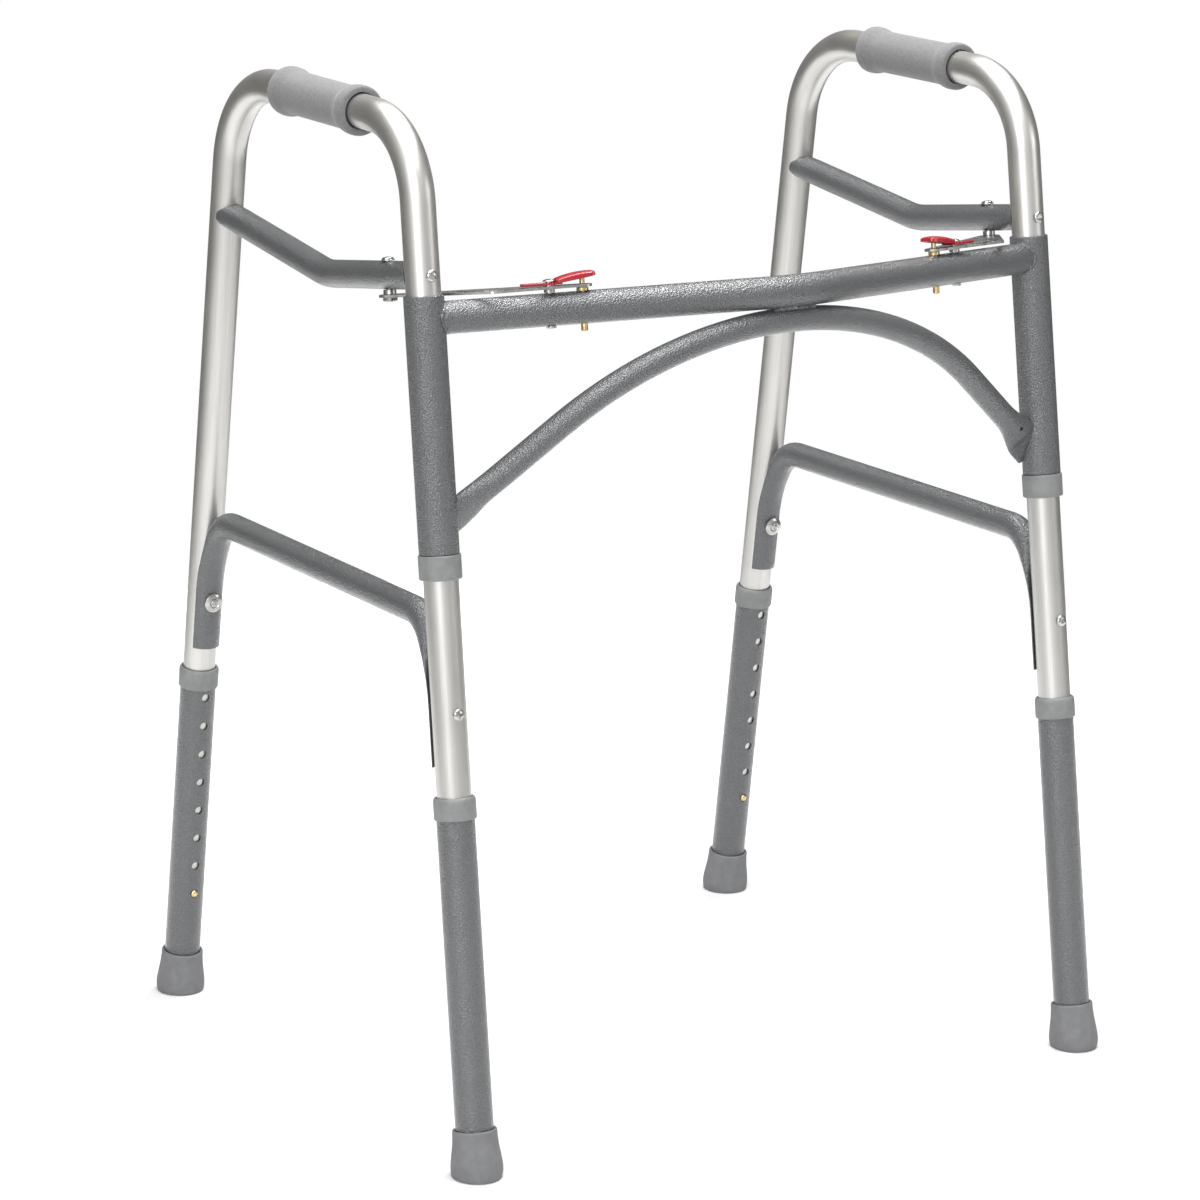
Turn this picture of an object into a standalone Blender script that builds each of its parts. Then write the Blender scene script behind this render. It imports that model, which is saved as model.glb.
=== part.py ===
"""Folding two-button walking frame, built as separate pieces around its real joints.

Metres, +Z up, +X to the right, -Y to the front. The origin is on the floor, at the middle of the
four feet. The front legs lean back by FRONT_LEAN and inwards by SIDE_SPLAY, and each side frame
folds about its own front leg. The empty "front_frame" leans back with them: x to the right, y to
the back, z up. In it, each side has a "hinge_seat", whose z is the front leg's axis, for what stays
with the crossbar, and on that a "side_hinge", which toes in, for what folds with the side frame.
"""

import math

import bmesh
import bpy
from mathutils import Matrix, Vector

MM = 0.001
GAP = 0.3 * MM

# Stance
HALF_WIDTH = 294.5 * MM
FOOT_SPACING = 497.0 * MM
FRONT_LEAN = math.radians(8.82)
REAR_LEAN = math.radians(6.38)
SIDE_SPLAY = math.radians(0.38)
SIDE_TOE = math.radians(1.13)
GRIP_HEIGHT = 796.5 * MM
SIDES = (("left", -1), ("right", 1))
LEGS = ("front", "rear")

# Tube sections
FRAME_RADIUS = 13.5 * MM
FRAME_WALL = 1.6 * MM
BEND_RADII = (67.0 * MM, 77.0 * MM)
SLEEVE_RADIUS = 15.6 * MM
SLEEVE_BORE = 13.95 * MM
LEG_RADIUS = 14.9 * MM
CROSSBAR_RADIUS = 12.7 * MM
CROSSBAR_WALL = 1.6 * MM
ARCH_RADIUS = 9.8 * MM
BRACE_RADIUS = 11.1 * MM
TUBE_SIDES = 16

# Leg extensions: distances along the leg from the floor
EXTENSION_FOOT = 6.0 * MM
EXTENSION_TOP = 291.3 * MM
FIRST_HOLE = 94.3 * MM
HOLE_PITCH = 25.4 * MM
HOLE_COUNT = 8
HOLE_RADIUS = 3.5 * MM
BUTTON_RADIUS = 3.0 * MM
INNER_TUBE_END = 73.0 * MM
COLLAR_RADIUS = 16.6 * MM
COLLAR_LOW = 278.8 * MM
COLLAR_HIGH = 295.3 * MM

# Hinge sleeves: distances along the front leg from the floor
SLEEVE_LOW = 482.3 * MM
SLEEVE_TOP = 678.4 * MM
SLEEVE_COLLAR_LOW = 463.3 * MM

# Crossbar and lock
CROSSBAR_LEVEL = 660.6 * MM
CROSSBAR_BOW = 76.0 * MM
CROSSBAR_SPAN = (HALF_WIDTH - CROSSBAR_LEVEL * math.sin(SIDE_SPLAY)) / math.cos(SIDE_SPLAY)
CROSSBAR_BEND = 110.0 * MM
RIVET_REACH = 99.5 * MM
PIN_REACH = 126.0 * MM
BOLT_REACH = 51.0 * MM
PLATE_LEVEL = 676.4 * MM
PLATE_THICKNESS = 2.0 * MM
LEVER_LIFT = 0.9 * MM
LEVER_THICKNESS = 2.0 * MM
LEVER_TILT = math.radians(8)
LINK_TURN = -0.2
LARGEST_FOLD = math.radians(89)

# Arch brace
ARCH_BEND = 300.0 * MM
ARCH_TURN = math.radians(41)
ARCH_REACH = 286.0 * MM
ARCH_TOP_HEIGHT = 639.3 * MM
ARCH_TOP_Y = 31.0 * MM
ARCH_SLOPE = -0.35

# Upper brace, as heights above the floor and distances behind the front foot
UPPER_BRACE_LOW = (251.0 * MM, 662.4 * MM)
UPPER_BRACE_FRONT = (112.5 * MM, 684.2 * MM)
UPPER_BRACE_REAR = (414.0 * MM, 682.8 * MM)
LOWER_BRACE_HEIGHT = 428.7 * MM
LOWER_STRIP_LOW = 312.0 * MM
LOWER_SCREW_HEIGHT = 356.0 * MM

FRAME_EMPTY = "front_frame"
MATERIALS = {
    "hammertone_paint": ((0.16, 0.165, 0.17, 1), 0.45, 0.6),
    "satin_aluminium": ((0.72, 0.72, 0.71, 1), 0.33, 1.0),
    "foam_rubber": ((0.36, 0.36, 0.37, 1), 0.9, 0.0),
    "collar_plastic": ((0.2, 0.205, 0.21, 1), 0.5, 0.0),
    "tip_rubber": ((0.17, 0.175, 0.18, 1), 0.75, 0.0),
    "zinc_steel": ((0.6, 0.6, 0.6, 1), 0.3, 1.0),
    "brass": ((0.72, 0.55, 0.25, 1), 0.3, 1.0),
    "red_plastic": ((0.45, 0.02, 0.04, 1), 0.3, 0.0),
}


# Scene helpers


def clear_scene():
    for obj in list(bpy.data.objects):
        bpy.data.objects.remove(obj, do_unlink=True)


def make_collection(name):
    collection = bpy.data.collections.new(name)
    bpy.context.scene.collection.children.link(collection)
    return collection


def make_material(name):
    colour, roughness, metallic = MATERIALS[name]
    material = bpy.data.materials.new(name)
    material.use_nodes = True
    shader = material.node_tree.nodes["Principled BSDF"]
    shader.inputs["Base Color"].default_value = colour
    shader.inputs["Roughness"].default_value = roughness
    shader.inputs["Metallic"].default_value = metallic
    return material


clear_scene()
PARTS = make_collection("walking_frame")
CUTTERS = make_collection("cutters")
CUTTERS.hide_render = True
FINISH = {name: make_material(name) for name in MATERIALS}


def add_empty(name, location, rotation, parent=None):
    empty = bpy.data.objects.new(name, None)
    empty.location = location
    empty.rotation_euler = rotation
    empty.parent = parent
    PARTS.objects.link(empty)
    bpy.context.view_layer.update()
    return empty


def add_part(name, mesh, finish, parent, location=(0, 0, 0), direction=None):
    """Links a mesh as a part. Its local z is turned to the direction, where one is given."""
    obj = bpy.data.objects.new(name, mesh)
    obj.location = location
    if direction is not None:
        obj.rotation_euler = Vector(direction).to_track_quat("Z", "Y").to_euler()
    obj.parent = parent
    mesh.materials.clear()
    mesh.materials.append(FINISH[finish])
    PARTS.objects.link(obj)
    return obj


def shade_round(mesh, angle=40):
    mesh.shade_smooth()
    mesh.set_sharp_from_angle(angle=math.radians(angle))


# Mesh makers


def closed_mesh(obj):
    """The evaluated mesh of a helper object, with its caps welded. The helper is removed."""
    bpy.context.view_layer.update()
    graph = bpy.context.evaluated_depsgraph_get()
    mesh = bpy.data.meshes.new_from_object(obj.evaluated_get(graph))
    bpy.data.objects.remove(obj, do_unlink=True)
    work = bmesh.new()
    work.from_mesh(mesh)
    bmesh.ops.remove_doubles(work, verts=work.verts, dist=0.01 * MM)
    work.to_mesh(mesh)
    work.free()
    shade_round(mesh)
    return mesh


def tube_mesh(points, radius, sides=TUBE_SIDES, capped=True):
    """A round bar or, uncapped, the skin of a tube, along a line of points."""
    curve = bpy.data.curves.new("tube", "CURVE")
    curve.dimensions = "3D"
    curve.bevel_depth = radius
    curve.bevel_resolution = (sides - 4) // 2
    curve.use_fill_caps = capped
    spline = curve.splines.new("POLY")
    spline.points.add(len(points) - 1)
    for point, place in zip(spline.points, points):
        point.co = (*place, 1)
    helper = bpy.data.objects.new("tube", curve)
    bpy.context.scene.collection.objects.link(helper)
    return closed_mesh(helper)


def plate_mesh(outlines, thickness):
    """A flat plate from an outer outline and the outlines of its holes."""
    curve = bpy.data.curves.new("plate", "CURVE")
    curve.dimensions = "2D"
    curve.fill_mode = "BOTH"
    curve.extrude = thickness / 2
    for outline in outlines:
        spline = curve.splines.new("POLY")
        spline.points.add(len(outline) - 1)
        spline.use_cyclic_u = True
        for point, place in zip(spline.points, outline):
            point.co = (place[0], place[1], 0, 1)
    helper = bpy.data.objects.new("plate", curve)
    bpy.context.scene.collection.objects.link(helper)
    return closed_mesh(helper)


def turned_mesh(profile, steps=20, closed=False):
    """A turned shape: (radius, height) points from top to bottom down the outer side."""
    mesh = bpy.data.meshes.new("turned")
    verts = [(radius, 0, height) for radius, height in profile]
    edges = [(i, i + 1) for i in range(len(verts) - 1)]
    if closed:
        edges.append((len(verts) - 1, 0))
    mesh.from_pydata(verts, edges, [])
    helper = bpy.data.objects.new("turned", mesh)
    bpy.context.scene.collection.objects.link(helper)
    screw = helper.modifiers.new("Screw", "SCREW")
    screw.steps = screw.render_steps = steps
    screw.use_merge_vertices = True
    screw.merge_threshold = 0.0001 * MM
    return closed_mesh(helper)


def cylinder_mesh(radius, low, high, sides=TUBE_SIDES):
    mesh = bpy.data.meshes.new("cylinder")
    work = bmesh.new()
    middle = Matrix.Translation((0, 0, (low + high) / 2))
    bmesh.ops.create_cone(work, cap_ends=True, segments=sides, radius1=radius, radius2=radius,
                          depth=high - low, matrix=middle)
    work.to_mesh(mesh)
    work.free()
    shade_round(mesh)
    return mesh


def loft_mesh(stations, sides=12):
    """A bar of changing section: stations of (centre, across, outward, half width, half depth, cup).

    Cup is the radius that the section wraps round, or 0 for a plain oval."""
    work = bmesh.new()
    rings = []
    for centre, across, outward, width, depth, cup in stations:
        ring = []
        for i in range(sides):
            turn = 2 * math.pi * i / sides
            x = width * math.cos(turn)
            sag = cup - math.sqrt(cup * cup - x * x) if cup else 0
            ring.append(work.verts.new(centre + across * x + outward * (depth * math.sin(turn) - sag)))
        rings.append(ring)
    for near, far in zip(rings, rings[1:]):
        for i in range(sides):
            j = (i + 1) % sides
            work.faces.new((near[i], near[j], far[j], far[i]))
    work.faces.new(rings[0])
    work.faces.new(rings[-1])
    bmesh.ops.recalc_face_normals(work, faces=work.faces)
    mesh = bpy.data.meshes.new("loft")
    work.to_mesh(mesh)
    work.free()
    shade_round(mesh)
    return mesh


def rounded_path(corners, radii, steps=6):
    """A line through the corners, each inner one rounded by an arc of its own radius."""
    points = [Vector(corners[0])]
    for before, corner, after, radius in zip(corners, corners[1:], corners[2:], radii):
        corner = Vector(corner)
        first = (Vector(before) - corner).normalized()
        second = (Vector(after) - corner).normalized()
        half = first.angle(second) / 2
        centre = corner + (first + second).normalized() * radius / math.sin(half)
        start = (corner + first * radius / math.tan(half) - centre).normalized()
        end = (corner + second * radius / math.tan(half) - centre).normalized()
        points += [centre + start.slerp(end, i / steps) * radius for i in range(steps + 1)]
    points.append(Vector(corners[-1]))
    return points


# Cutting


def hollow(obj, wall):
    solidify = obj.modifiers.new("Wall", "SOLIDIFY")
    solidify.thickness = wall
    solidify.offset = -1
    solidify.use_even_offset = True


def cut(obj, mesh, parent, location=(0, 0, 0), direction=None, operation="DIFFERENCE"):
    cutter = bpy.data.objects.new(obj.name + "_cutter", mesh)
    cutter.location = location
    if direction is not None:
        cutter.rotation_euler = Vector(direction).to_track_quat("Z", "Y").to_euler()
    cutter.parent = parent
    cutter.hide_render = True
    cutter.display_type = "WIRE"
    CUTTERS.objects.link(cutter)
    boolean = obj.modifiers.new("Boolean", "BOOLEAN")
    boolean.operation = operation
    boolean.object = cutter


def drill(obj, parent, start, direction, length, radius, sides=8):
    cut(obj, cylinder_mesh(radius, 0, length, sides), parent, start, direction)


# Places


def upright(y, z):
    """A point of a side frame, from its distance behind the front foot and its height."""
    return Vector((0, y * math.cos(FRONT_LEAN) - z * math.sin(FRONT_LEAN),
                   y * math.sin(FRONT_LEAN) + z * math.cos(FRONT_LEAN)))


LEG_FOOT = {"front": Vector((0, 0, 0)), "rear": upright(FOOT_SPACING, 0)}
LEG_LEAN = {"front": 0.0, "rear": FRONT_LEAN + REAR_LEAN}


def leg_direction(leg):
    lean = LEG_LEAN[leg]
    return Vector((0, -math.sin(lean), math.cos(lean)))


def leg_inward(leg):
    """Square to the leg, in the plane of the side frame, towards the other leg."""
    lean = LEG_LEAN[leg]
    towards = Vector((0, math.cos(lean), math.sin(lean)))
    return towards if leg == "front" else -towards


def leg_at_height(leg, height):
    """The point of a leg's axis at a height above the floor."""
    axis = leg_direction(leg)
    rise = axis.z * math.cos(FRONT_LEAN) - axis.y * math.sin(FRONT_LEAN)
    return LEG_FOOT[leg] + axis * height / rise


FRONT = add_empty(FRAME_EMPTY, (0, -FOOT_SPACING / 2, 0), (-FRONT_LEAN, 0, 0))
SEAT = {
    side: add_empty(f"{side}_hinge_seat", (sign * HALF_WIDTH, 0, 0), (0, -sign * SIDE_SPLAY, 0), FRONT)
    for side, sign in SIDES
}
HINGE = {
    side: add_empty(f"{side}_side_hinge", (0, 0, 0), (0, 0, sign * SIDE_TOE), SEAT[side])
    for side, sign in SIDES
}


# Side frames


def side_tube(side):
    ends = [LEG_FOOT[leg] + leg_direction(leg) * INNER_TUBE_END for leg in LEGS]
    tops = [leg_at_height(leg, GRIP_HEIGHT) for leg in LEGS]
    path = rounded_path([ends[0], tops[0], tops[1], ends[1]], BEND_RADII, 6)
    tube = add_part(f"{side}_side_tube", tube_mesh(path, FRAME_RADIUS, capped=False),
                    "satin_aluminium", HINGE[side])
    hollow(tube, FRAME_WALL)
    for leg in LEGS:
        hole = LEG_FOOT[leg] + leg_direction(leg) * FIRST_HOLE
        drill(tube, HINGE[side], hole, leg_inward(leg), 30 * MM, HOLE_RADIUS)
    return tube


def grip(side):
    half = 59.0 * MM
    bore, body, flare = 13.9 * MM, 17.4 * MM, 20.0 * MM
    outer = [(bore, half), (19 * MM, half), (flare, half - 2 * MM), (flare, half - 10 * MM),
             (body, half - 17 * MM), (body, -half + 17 * MM), (flare, -half + 10 * MM),
             (flare, -half + 2 * MM), (19 * MM, -half), (bore, -half)]
    add_part(f"{side}_grip", turned_mesh(outer, 18, closed=True), "foam_rubber", HINGE[side],
             upright(260 * MM, GRIP_HEIGHT), upright(1, 0) - upright(0, 0))


def brace_stations(path, sizes):
    """Loft stations along a path in the side plane; sizes gives (half width, half depth, cup)."""
    across = Vector((1, 0, 0))
    stations = []
    for i, point in enumerate(path):
        ahead = path[min(i + 1, len(path) - 1)] - path[max(i - 1, 0)]
        outward = across.cross(ahead.normalized())
        stations.append((point, across, outward, *sizes(i, point)))
    return stations


def leg_cut(obj, side, leg):
    """Keeps a piece clear of a leg that it hugs."""
    cut(obj, cylinder_mesh(FRAME_RADIUS + 2 * GAP, 100 * MM, 760 * MM), HINGE[side], LEG_FOOT[leg],
        leg_direction(leg))


def upper_brace(side):
    corners = [upright(*UPPER_BRACE_REAR), upright(*UPPER_BRACE_LOW), upright(*UPPER_BRACE_FRONT)]
    bend = rounded_path(corners, (75 * MM,), 4)
    flat = 14 * MM
    inner_rear = bend[0] + (bend[1] - bend[0]).normalized() * flat
    inner_front = bend[-1] + (bend[-2] - bend[-1]).normalized() * flat
    path = [bend[0], inner_rear, *bend[1:-1], inner_front, bend[-1]]

    def sizes(i, _point):
        end = i in (0, len(path) - 1)
        return (13.6 * MM if end else BRACE_RADIUS), BRACE_RADIUS, 0

    brace = add_part(f"{side}_upper_brace", loft_mesh(brace_stations(path, sizes), 14),
                     "hammertone_paint", HINGE[side])
    for leg in LEGS:
        leg_cut(brace, side, leg)
    return brace


def strip_point(leg, height, reach):
    """A point beside a leg, at a height, out from its axis towards the other leg."""
    return leg_at_height(leg, height) + leg_inward(leg) * reach


def lower_brace(side):
    strip_reach, tube_reach = 14.8 * MM, 24.0 * MM
    top, low = LOWER_BRACE_HEIGHT, LOWER_STRIP_LOW
    ends = {}
    for leg in LEGS:
        ends[leg] = [strip_point(leg, low, strip_reach), strip_point(leg, top - 60 * MM, strip_reach),
                     strip_point(leg, top - 33 * MM, 19.5 * MM)]
    corners = [ends["rear"][-1], strip_point("rear", top, tube_reach),
               strip_point("front", top, tube_reach), ends["front"][-1]]
    bend = rounded_path(corners, (28 * MM, 28 * MM), 5)
    path = [*ends["rear"][:-1], *bend, *reversed(ends["front"][:-1])]
    flat = (12.6 * MM, 2.6 * MM, 17.0 * MM)
    half_round = (12.0 * MM, 7.2 * MM, 0)
    last = len(path) - 1

    def sizes(i, _point):
        step = min(i, last - i)
        return flat if step < 2 else half_round if step == 2 else (BRACE_RADIUS, BRACE_RADIUS, 0)

    brace = add_part(f"{side}_lower_brace", loft_mesh(brace_stations(path, sizes), 14),
                     "hammertone_paint", HINGE[side])
    for leg in LEGS:
        leg_cut(brace, side, leg)
    return brace


def screw_mesh(head_radius, head_height, shank_radius, shank_length):
    """A pan-head screw: its seat is at zero, its head above and its shank below."""
    return turned_mesh([(0, head_height), (head_radius * 0.6, head_height),
                        (head_radius, head_height * 0.45), (head_radius, 0), (shank_radius, 0),
                        (shank_radius, -shank_length), (0, -shank_length)], 12)


def fastener(side, name, start, outward, lift, length, targets):
    """A screw through the leg wall at start, its head lift above the leg's axis, and its hole."""
    seat = start + outward * lift
    add_part(f"{side}_{name}", screw_mesh(4.6 * MM, 2.8 * MM, 2.2 * MM, length), "zinc_steel",
             HINGE[side], seat, outward)
    for target in targets:
        drill(target, HINGE[side], seat + outward * 2 * MM, -outward, length + 3 * MM, 2.7 * MM)


def side_fasteners(side, tube, upper, lower):
    hinge = HINGE[side]
    level = upright(*UPPER_BRACE_FRONT).z
    front_seat = FRAME_RADIUS + GAP
    fastener(side, "upper_front_screw", Vector((0, 0, level)), -leg_inward("front"), front_seat,
             38 * MM, (tube, upper))
    rear = leg_at_height("rear", UPPER_BRACE_REAR[1])
    fastener(side, "upper_rear_screw", rear, -leg_inward("rear"), front_seat, 38 * MM, (tube, upper))
    low_front = leg_at_height("front", LOWER_SCREW_HEIGHT)
    fastener(side, "lower_front_screw", low_front, -leg_inward("front"), front_seat, 34 * MM,
             (tube, lower))
    low_rear = leg_at_height("rear", LOWER_SCREW_HEIGHT)
    inward = leg_inward("rear")
    washer_seat = 18.4 * MM
    washer = turned_mesh([(2.6 * MM, 1.4 * MM), (6.5 * MM, 1.4 * MM), (8.2 * MM, 0), (2.6 * MM, 0)],
                         16, closed=True)
    add_part(f"{side}_lower_rear_washer", washer, "zinc_steel", hinge,
             low_rear + inward * washer_seat, inward)
    fastener(side, "lower_rear_screw", low_rear, inward, washer_seat + 1.4 * MM + GAP, 22 * MM,
             (tube, lower))


def link_bolt(side, upper):
    """The bolt that the link plate turns on: nut above the brace, shoulder and head below it."""
    top = upright(*UPPER_BRACE_FRONT).z + BRACE_RADIUS
    under = PLATE_LEVEL - GAP
    over = PLATE_LEVEL + PLATE_THICKNESS + GAP
    bottom_of_brace = top - 2 * BRACE_RADIUS
    shank, shoulder, head = 2.6 * MM, 5.0 * MM, 5.6 * MM
    profile = [(0, top + 4.6 * MM), (shank, top + 4.6 * MM), (shank, top + 3.4 * MM),
               (5.2 * MM, top + 3.4 * MM), (5.2 * MM, top + GAP), (shank, top + GAP),
               (shank, bottom_of_brace - GAP), (shoulder, bottom_of_brace - GAP), (shoulder, over),
               (shank, over), (shank, under), (head, under), (head, under - 3.2 * MM),
               (0, under - 3.2 * MM)]
    place = Vector((0, BOLT_REACH, 0))
    add_part(f"{side}_link_bolt", turned_mesh(profile, 12), "zinc_steel", HINGE[side], place)
    drill(upper, HINGE[side], place + Vector((0, 0, bottom_of_brace - 5 * MM)), (0, 0, 1), 36 * MM,
          3.1 * MM)


# Leg extensions


def leg_extension(side, leg):
    name, hinge = f"{side}_{leg}", HINGE[side]
    foot, axis, inward = LEG_FOOT[leg], leg_direction(leg), leg_inward(leg)
    skin = bpy.data.meshes.new("skin")
    work = bmesh.new()
    middle = Matrix.Translation((0, 0, (EXTENSION_FOOT + EXTENSION_TOP) / 2))
    bmesh.ops.create_cone(work, cap_ends=False, segments=TUBE_SIDES, radius1=LEG_RADIUS,
                          radius2=LEG_RADIUS, depth=EXTENSION_TOP - EXTENSION_FOOT, matrix=middle)
    work.to_mesh(skin)
    work.free()
    shade_round(skin)
    tube = add_part(f"{name}_extension_tube", skin, "hammertone_paint", hinge, foot, axis)
    hollow(tube, 0.95 * MM)
    for i in range(HOLE_COUNT):
        hole = foot + axis * (FIRST_HOLE + i * HOLE_PITCH)
        drill(tube, hinge, hole, inward, 20 * MM, HOLE_RADIUS)

    lip, skirt = FRAME_RADIUS + 2 * GAP, LEG_RADIUS + GAP
    ledge = EXTENSION_TOP + GAP
    collar = [(lip, COLLAR_HIGH), (COLLAR_RADIUS - MM, COLLAR_HIGH), (COLLAR_RADIUS, COLLAR_HIGH - MM),
              (COLLAR_RADIUS, COLLAR_LOW), (skirt, COLLAR_LOW), (skirt, ledge), (lip, ledge)]
    add_part(f"{name}_extension_collar", turned_mesh(collar, 18, closed=True), "collar_plastic",
             hinge, foot, axis)

    bore, rim = LEG_RADIUS + GAP, 37.0 * MM
    tip = [(bore, rim), (17.0 * MM, rim), (17.6 * MM, rim - 2 * MM), (18.3 * MM, 14 * MM),
           (20.4 * MM, 6 * MM), (20.4 * MM, -8 * MM), (0, -8 * MM), (0, EXTENSION_FOOT - GAP),
           (bore, EXTENSION_FOOT - GAP)]
    rubber = add_part(f"{name}_rubber_tip", open_bore_mesh(tip), "tip_rubber", hinge, foot, axis)
    below = HINGE[side].matrix_world @ foot
    cut(rubber, box_mesh((60 * MM, 60 * MM, 20 * MM)), None, (below.x, below.y, -10 * MM))


def open_bore_mesh(profile):
    """A turned cup: the profile starts at the rim of its bore and ends at the bore's corner."""
    return turned_mesh([*profile, profile[0]], 20)


def box_mesh(size):
    mesh = bpy.data.meshes.new("box")
    work = bmesh.new()
    bmesh.ops.create_cube(work, size=1, matrix=Matrix.Diagonal((*size, 1)))
    work.to_mesh(mesh)
    work.free()
    return mesh


def snap_button(side, leg):
    """The leg's snap button on its leaf spring, inside the end of the side tube."""
    foot, axis, inward = LEG_FOOT[leg], leg_direction(leg), leg_inward(leg)
    inside = FRAME_RADIUS - FRAME_WALL
    crown = LEG_RADIUS + 2.0 * MM
    back = 9.4 * MM
    button = [(0, crown), (1.6 * MM, crown - 0.3 * MM), (BUTTON_RADIUS, crown - 1.5 * MM),
              (BUTTON_RADIUS, back), (0, back)]
    place = foot + axis * FIRST_HOLE
    clip = add_part(f"{side}_{leg}_snap_button", turned_mesh(button, 12), "brass", HINGE[side],
                    place, inward)
    leaf_offset = (back + inside) / 2 - 0.9 * MM
    leaf = box_mesh((7 * MM, 0.8 * MM, 46 * MM))
    cut(clip, leaf, HINGE[side], place + inward * leaf_offset + axis * 17 * MM, axis, "UNION")


# Front frame


def crossbar_place(sign, reach):
    """A point on the crossbar's axis, reach along it from a hinge, in that side's seat frame."""
    along = Vector((-sign * CROSSBAR_SPAN, -CROSSBAR_BOW, 0)).normalized()
    return Vector((0, 0, CROSSBAR_LEVEL)) + along * reach


def hinge_sleeve(side):
    profile = [(SLEEVE_BORE, SLEEVE_TOP), (SLEEVE_RADIUS, SLEEVE_TOP), (SLEEVE_RADIUS, SLEEVE_LOW),
               (SLEEVE_BORE, SLEEVE_LOW)]
    add_part(f"{side}_hinge_sleeve", turned_mesh(profile, 20, closed=True), "hammertone_paint",
             SEAT[side])
    top = SLEEVE_LOW - GAP
    collar = [(SLEEVE_BORE, top), (COLLAR_RADIUS, top), (COLLAR_RADIUS, SLEEVE_COLLAR_LOW),
              (SLEEVE_BORE, SLEEVE_COLLAR_LOW)]
    add_part(f"{side}_sleeve_collar", turned_mesh(collar, 18, closed=True), "collar_plastic",
             SEAT[side])


def sleeve_cut(obj):
    for side, _sign in SIDES:
        cut(obj, cylinder_mesh(SLEEVE_RADIUS + GAP, 400 * MM, 720 * MM, 20), SEAT[side])


def crossbar():
    half = math.hypot(CROSSBAR_SPAN, CROSSBAR_BOW)
    spots = [("left", -1, 0), ("left", -1, half), ("right", 1, 0)]
    corners = [SEAT[side].matrix_local @ crossbar_place(sign, reach) for side, sign, reach in spots]
    path = rounded_path(corners, (CROSSBAR_BEND,), 4)
    bar = add_part("front_crossbar", tube_mesh(path, CROSSBAR_RADIUS, capped=False),
                   "hammertone_paint", FRONT)
    hollow(bar, CROSSBAR_WALL)
    sleeve_cut(bar)
    below, up = Vector((0, 0, -20 * MM)), (0, 0, 1)
    for side, sign in SIDES:
        seat, rivet, pin = SEAT[side], crossbar_place(sign, RIVET_REACH), crossbar_place(sign, PIN_REACH)
        drill(bar, seat, rivet + below, up, 40 * MM, 2.9 * MM)
        drill(bar, seat, pin + below, up, 20 * MM, 3.2 * MM)
        drill(bar, seat, pin, up, 20 * MM, 5.2 * MM, 12)


def arch_point(across, drop):
    """A point of the arch's leaning plane: its drop below the top is measured in that plane."""
    fall = drop / math.sqrt(1 + ARCH_SLOPE * ARCH_SLOPE)
    spot = upright(ARCH_TOP_Y - ARCH_SLOPE * fall, ARCH_TOP_HEIGHT - fall)
    return Vector((across, spot.y, spot.z))


def arch_brace():
    across, drop = ARCH_BEND * math.sin(ARCH_TURN), ARCH_BEND * (1 - math.cos(ARCH_TURN))
    end_drop = drop + (ARCH_REACH - across) * math.tan(ARCH_TURN)
    steps = 12
    turns = [ARCH_TURN * (2 * i / steps - 1) for i in range(steps + 1)]
    arc = [arch_point(ARCH_BEND * math.sin(turn), ARCH_BEND * (1 - math.cos(turn))) for turn in turns]
    points = [arch_point(-ARCH_REACH, end_drop), *arc, arch_point(ARCH_REACH, end_drop)]
    arch = add_part("arch_brace", tube_mesh(points, ARCH_RADIUS, 12), "hammertone_paint", FRONT)
    sleeve_cut(arch)


# Locks: each has a link plate, a guide rivet, a release lever and a sprung pin


def lock_points(sign):
    """The plate's bolt, the guide rivet and the pin, seen from above with the frame open."""
    bolt = Vector((-sign * math.sin(SIDE_TOE), math.cos(SIDE_TOE))) * BOLT_REACH
    return bolt, crossbar_place(sign, RIVET_REACH).xy, crossbar_place(sign, PIN_REACH).xy


def slot_line(sign, steps=10):
    """Where the rivet runs in the plate while the side frame folds and the plate turns."""
    bolt, rivet, _pin = lock_points(sign)
    line = []
    for i in range(steps + 1):
        fold = sign * LARGEST_FOLD * i / steps
        bolt_now = Matrix.Rotation(fold, 2) @ bolt
        line.append(bolt + Matrix.Rotation(-LINK_TURN * fold, 2) @ (rivet - bolt_now))
    return line


def disc_outline(centre, radius, steps=10):
    return [centre + Vector((math.cos(t), math.sin(t))) * radius
            for t in (2 * math.pi * i / steps for i in range(steps))]


def slot_outline(line, radius, steps=4):
    """The outline of a round-ended slot along a line."""
    outline = []
    for points in (line, line[::-1]):
        for i, point in enumerate(points):
            ahead = points[min(i + 1, len(points) - 1)] - points[max(i - 1, 0)]
            right = Vector((ahead.y, -ahead.x)).normalized()
            if i < len(points) - 1:
                outline.append(point + right * radius)
                continue
            for k in range(steps):
                outline.append(point + Matrix.Rotation(math.pi * k / steps, 2) @ right * radius)
    return outline


def hull_outline(discs, steps=24):
    """The outline round several discs, as the edge of their convex hull."""
    spots = [spot for centre, radius in discs for spot in disc_outline(centre, radius, steps)]
    spots.sort(key=lambda spot: (spot.x, spot.y))
    edges = []
    for run in (spots, spots[::-1]):
        edge = []
        for spot in run:
            while len(edge) > 1 and (edge[-1] - edge[-2]).cross(spot - edge[-2]) <= 0:
                edge.pop()
            edge.append(spot)
        edges += edge[:-1]
    return edges


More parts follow.
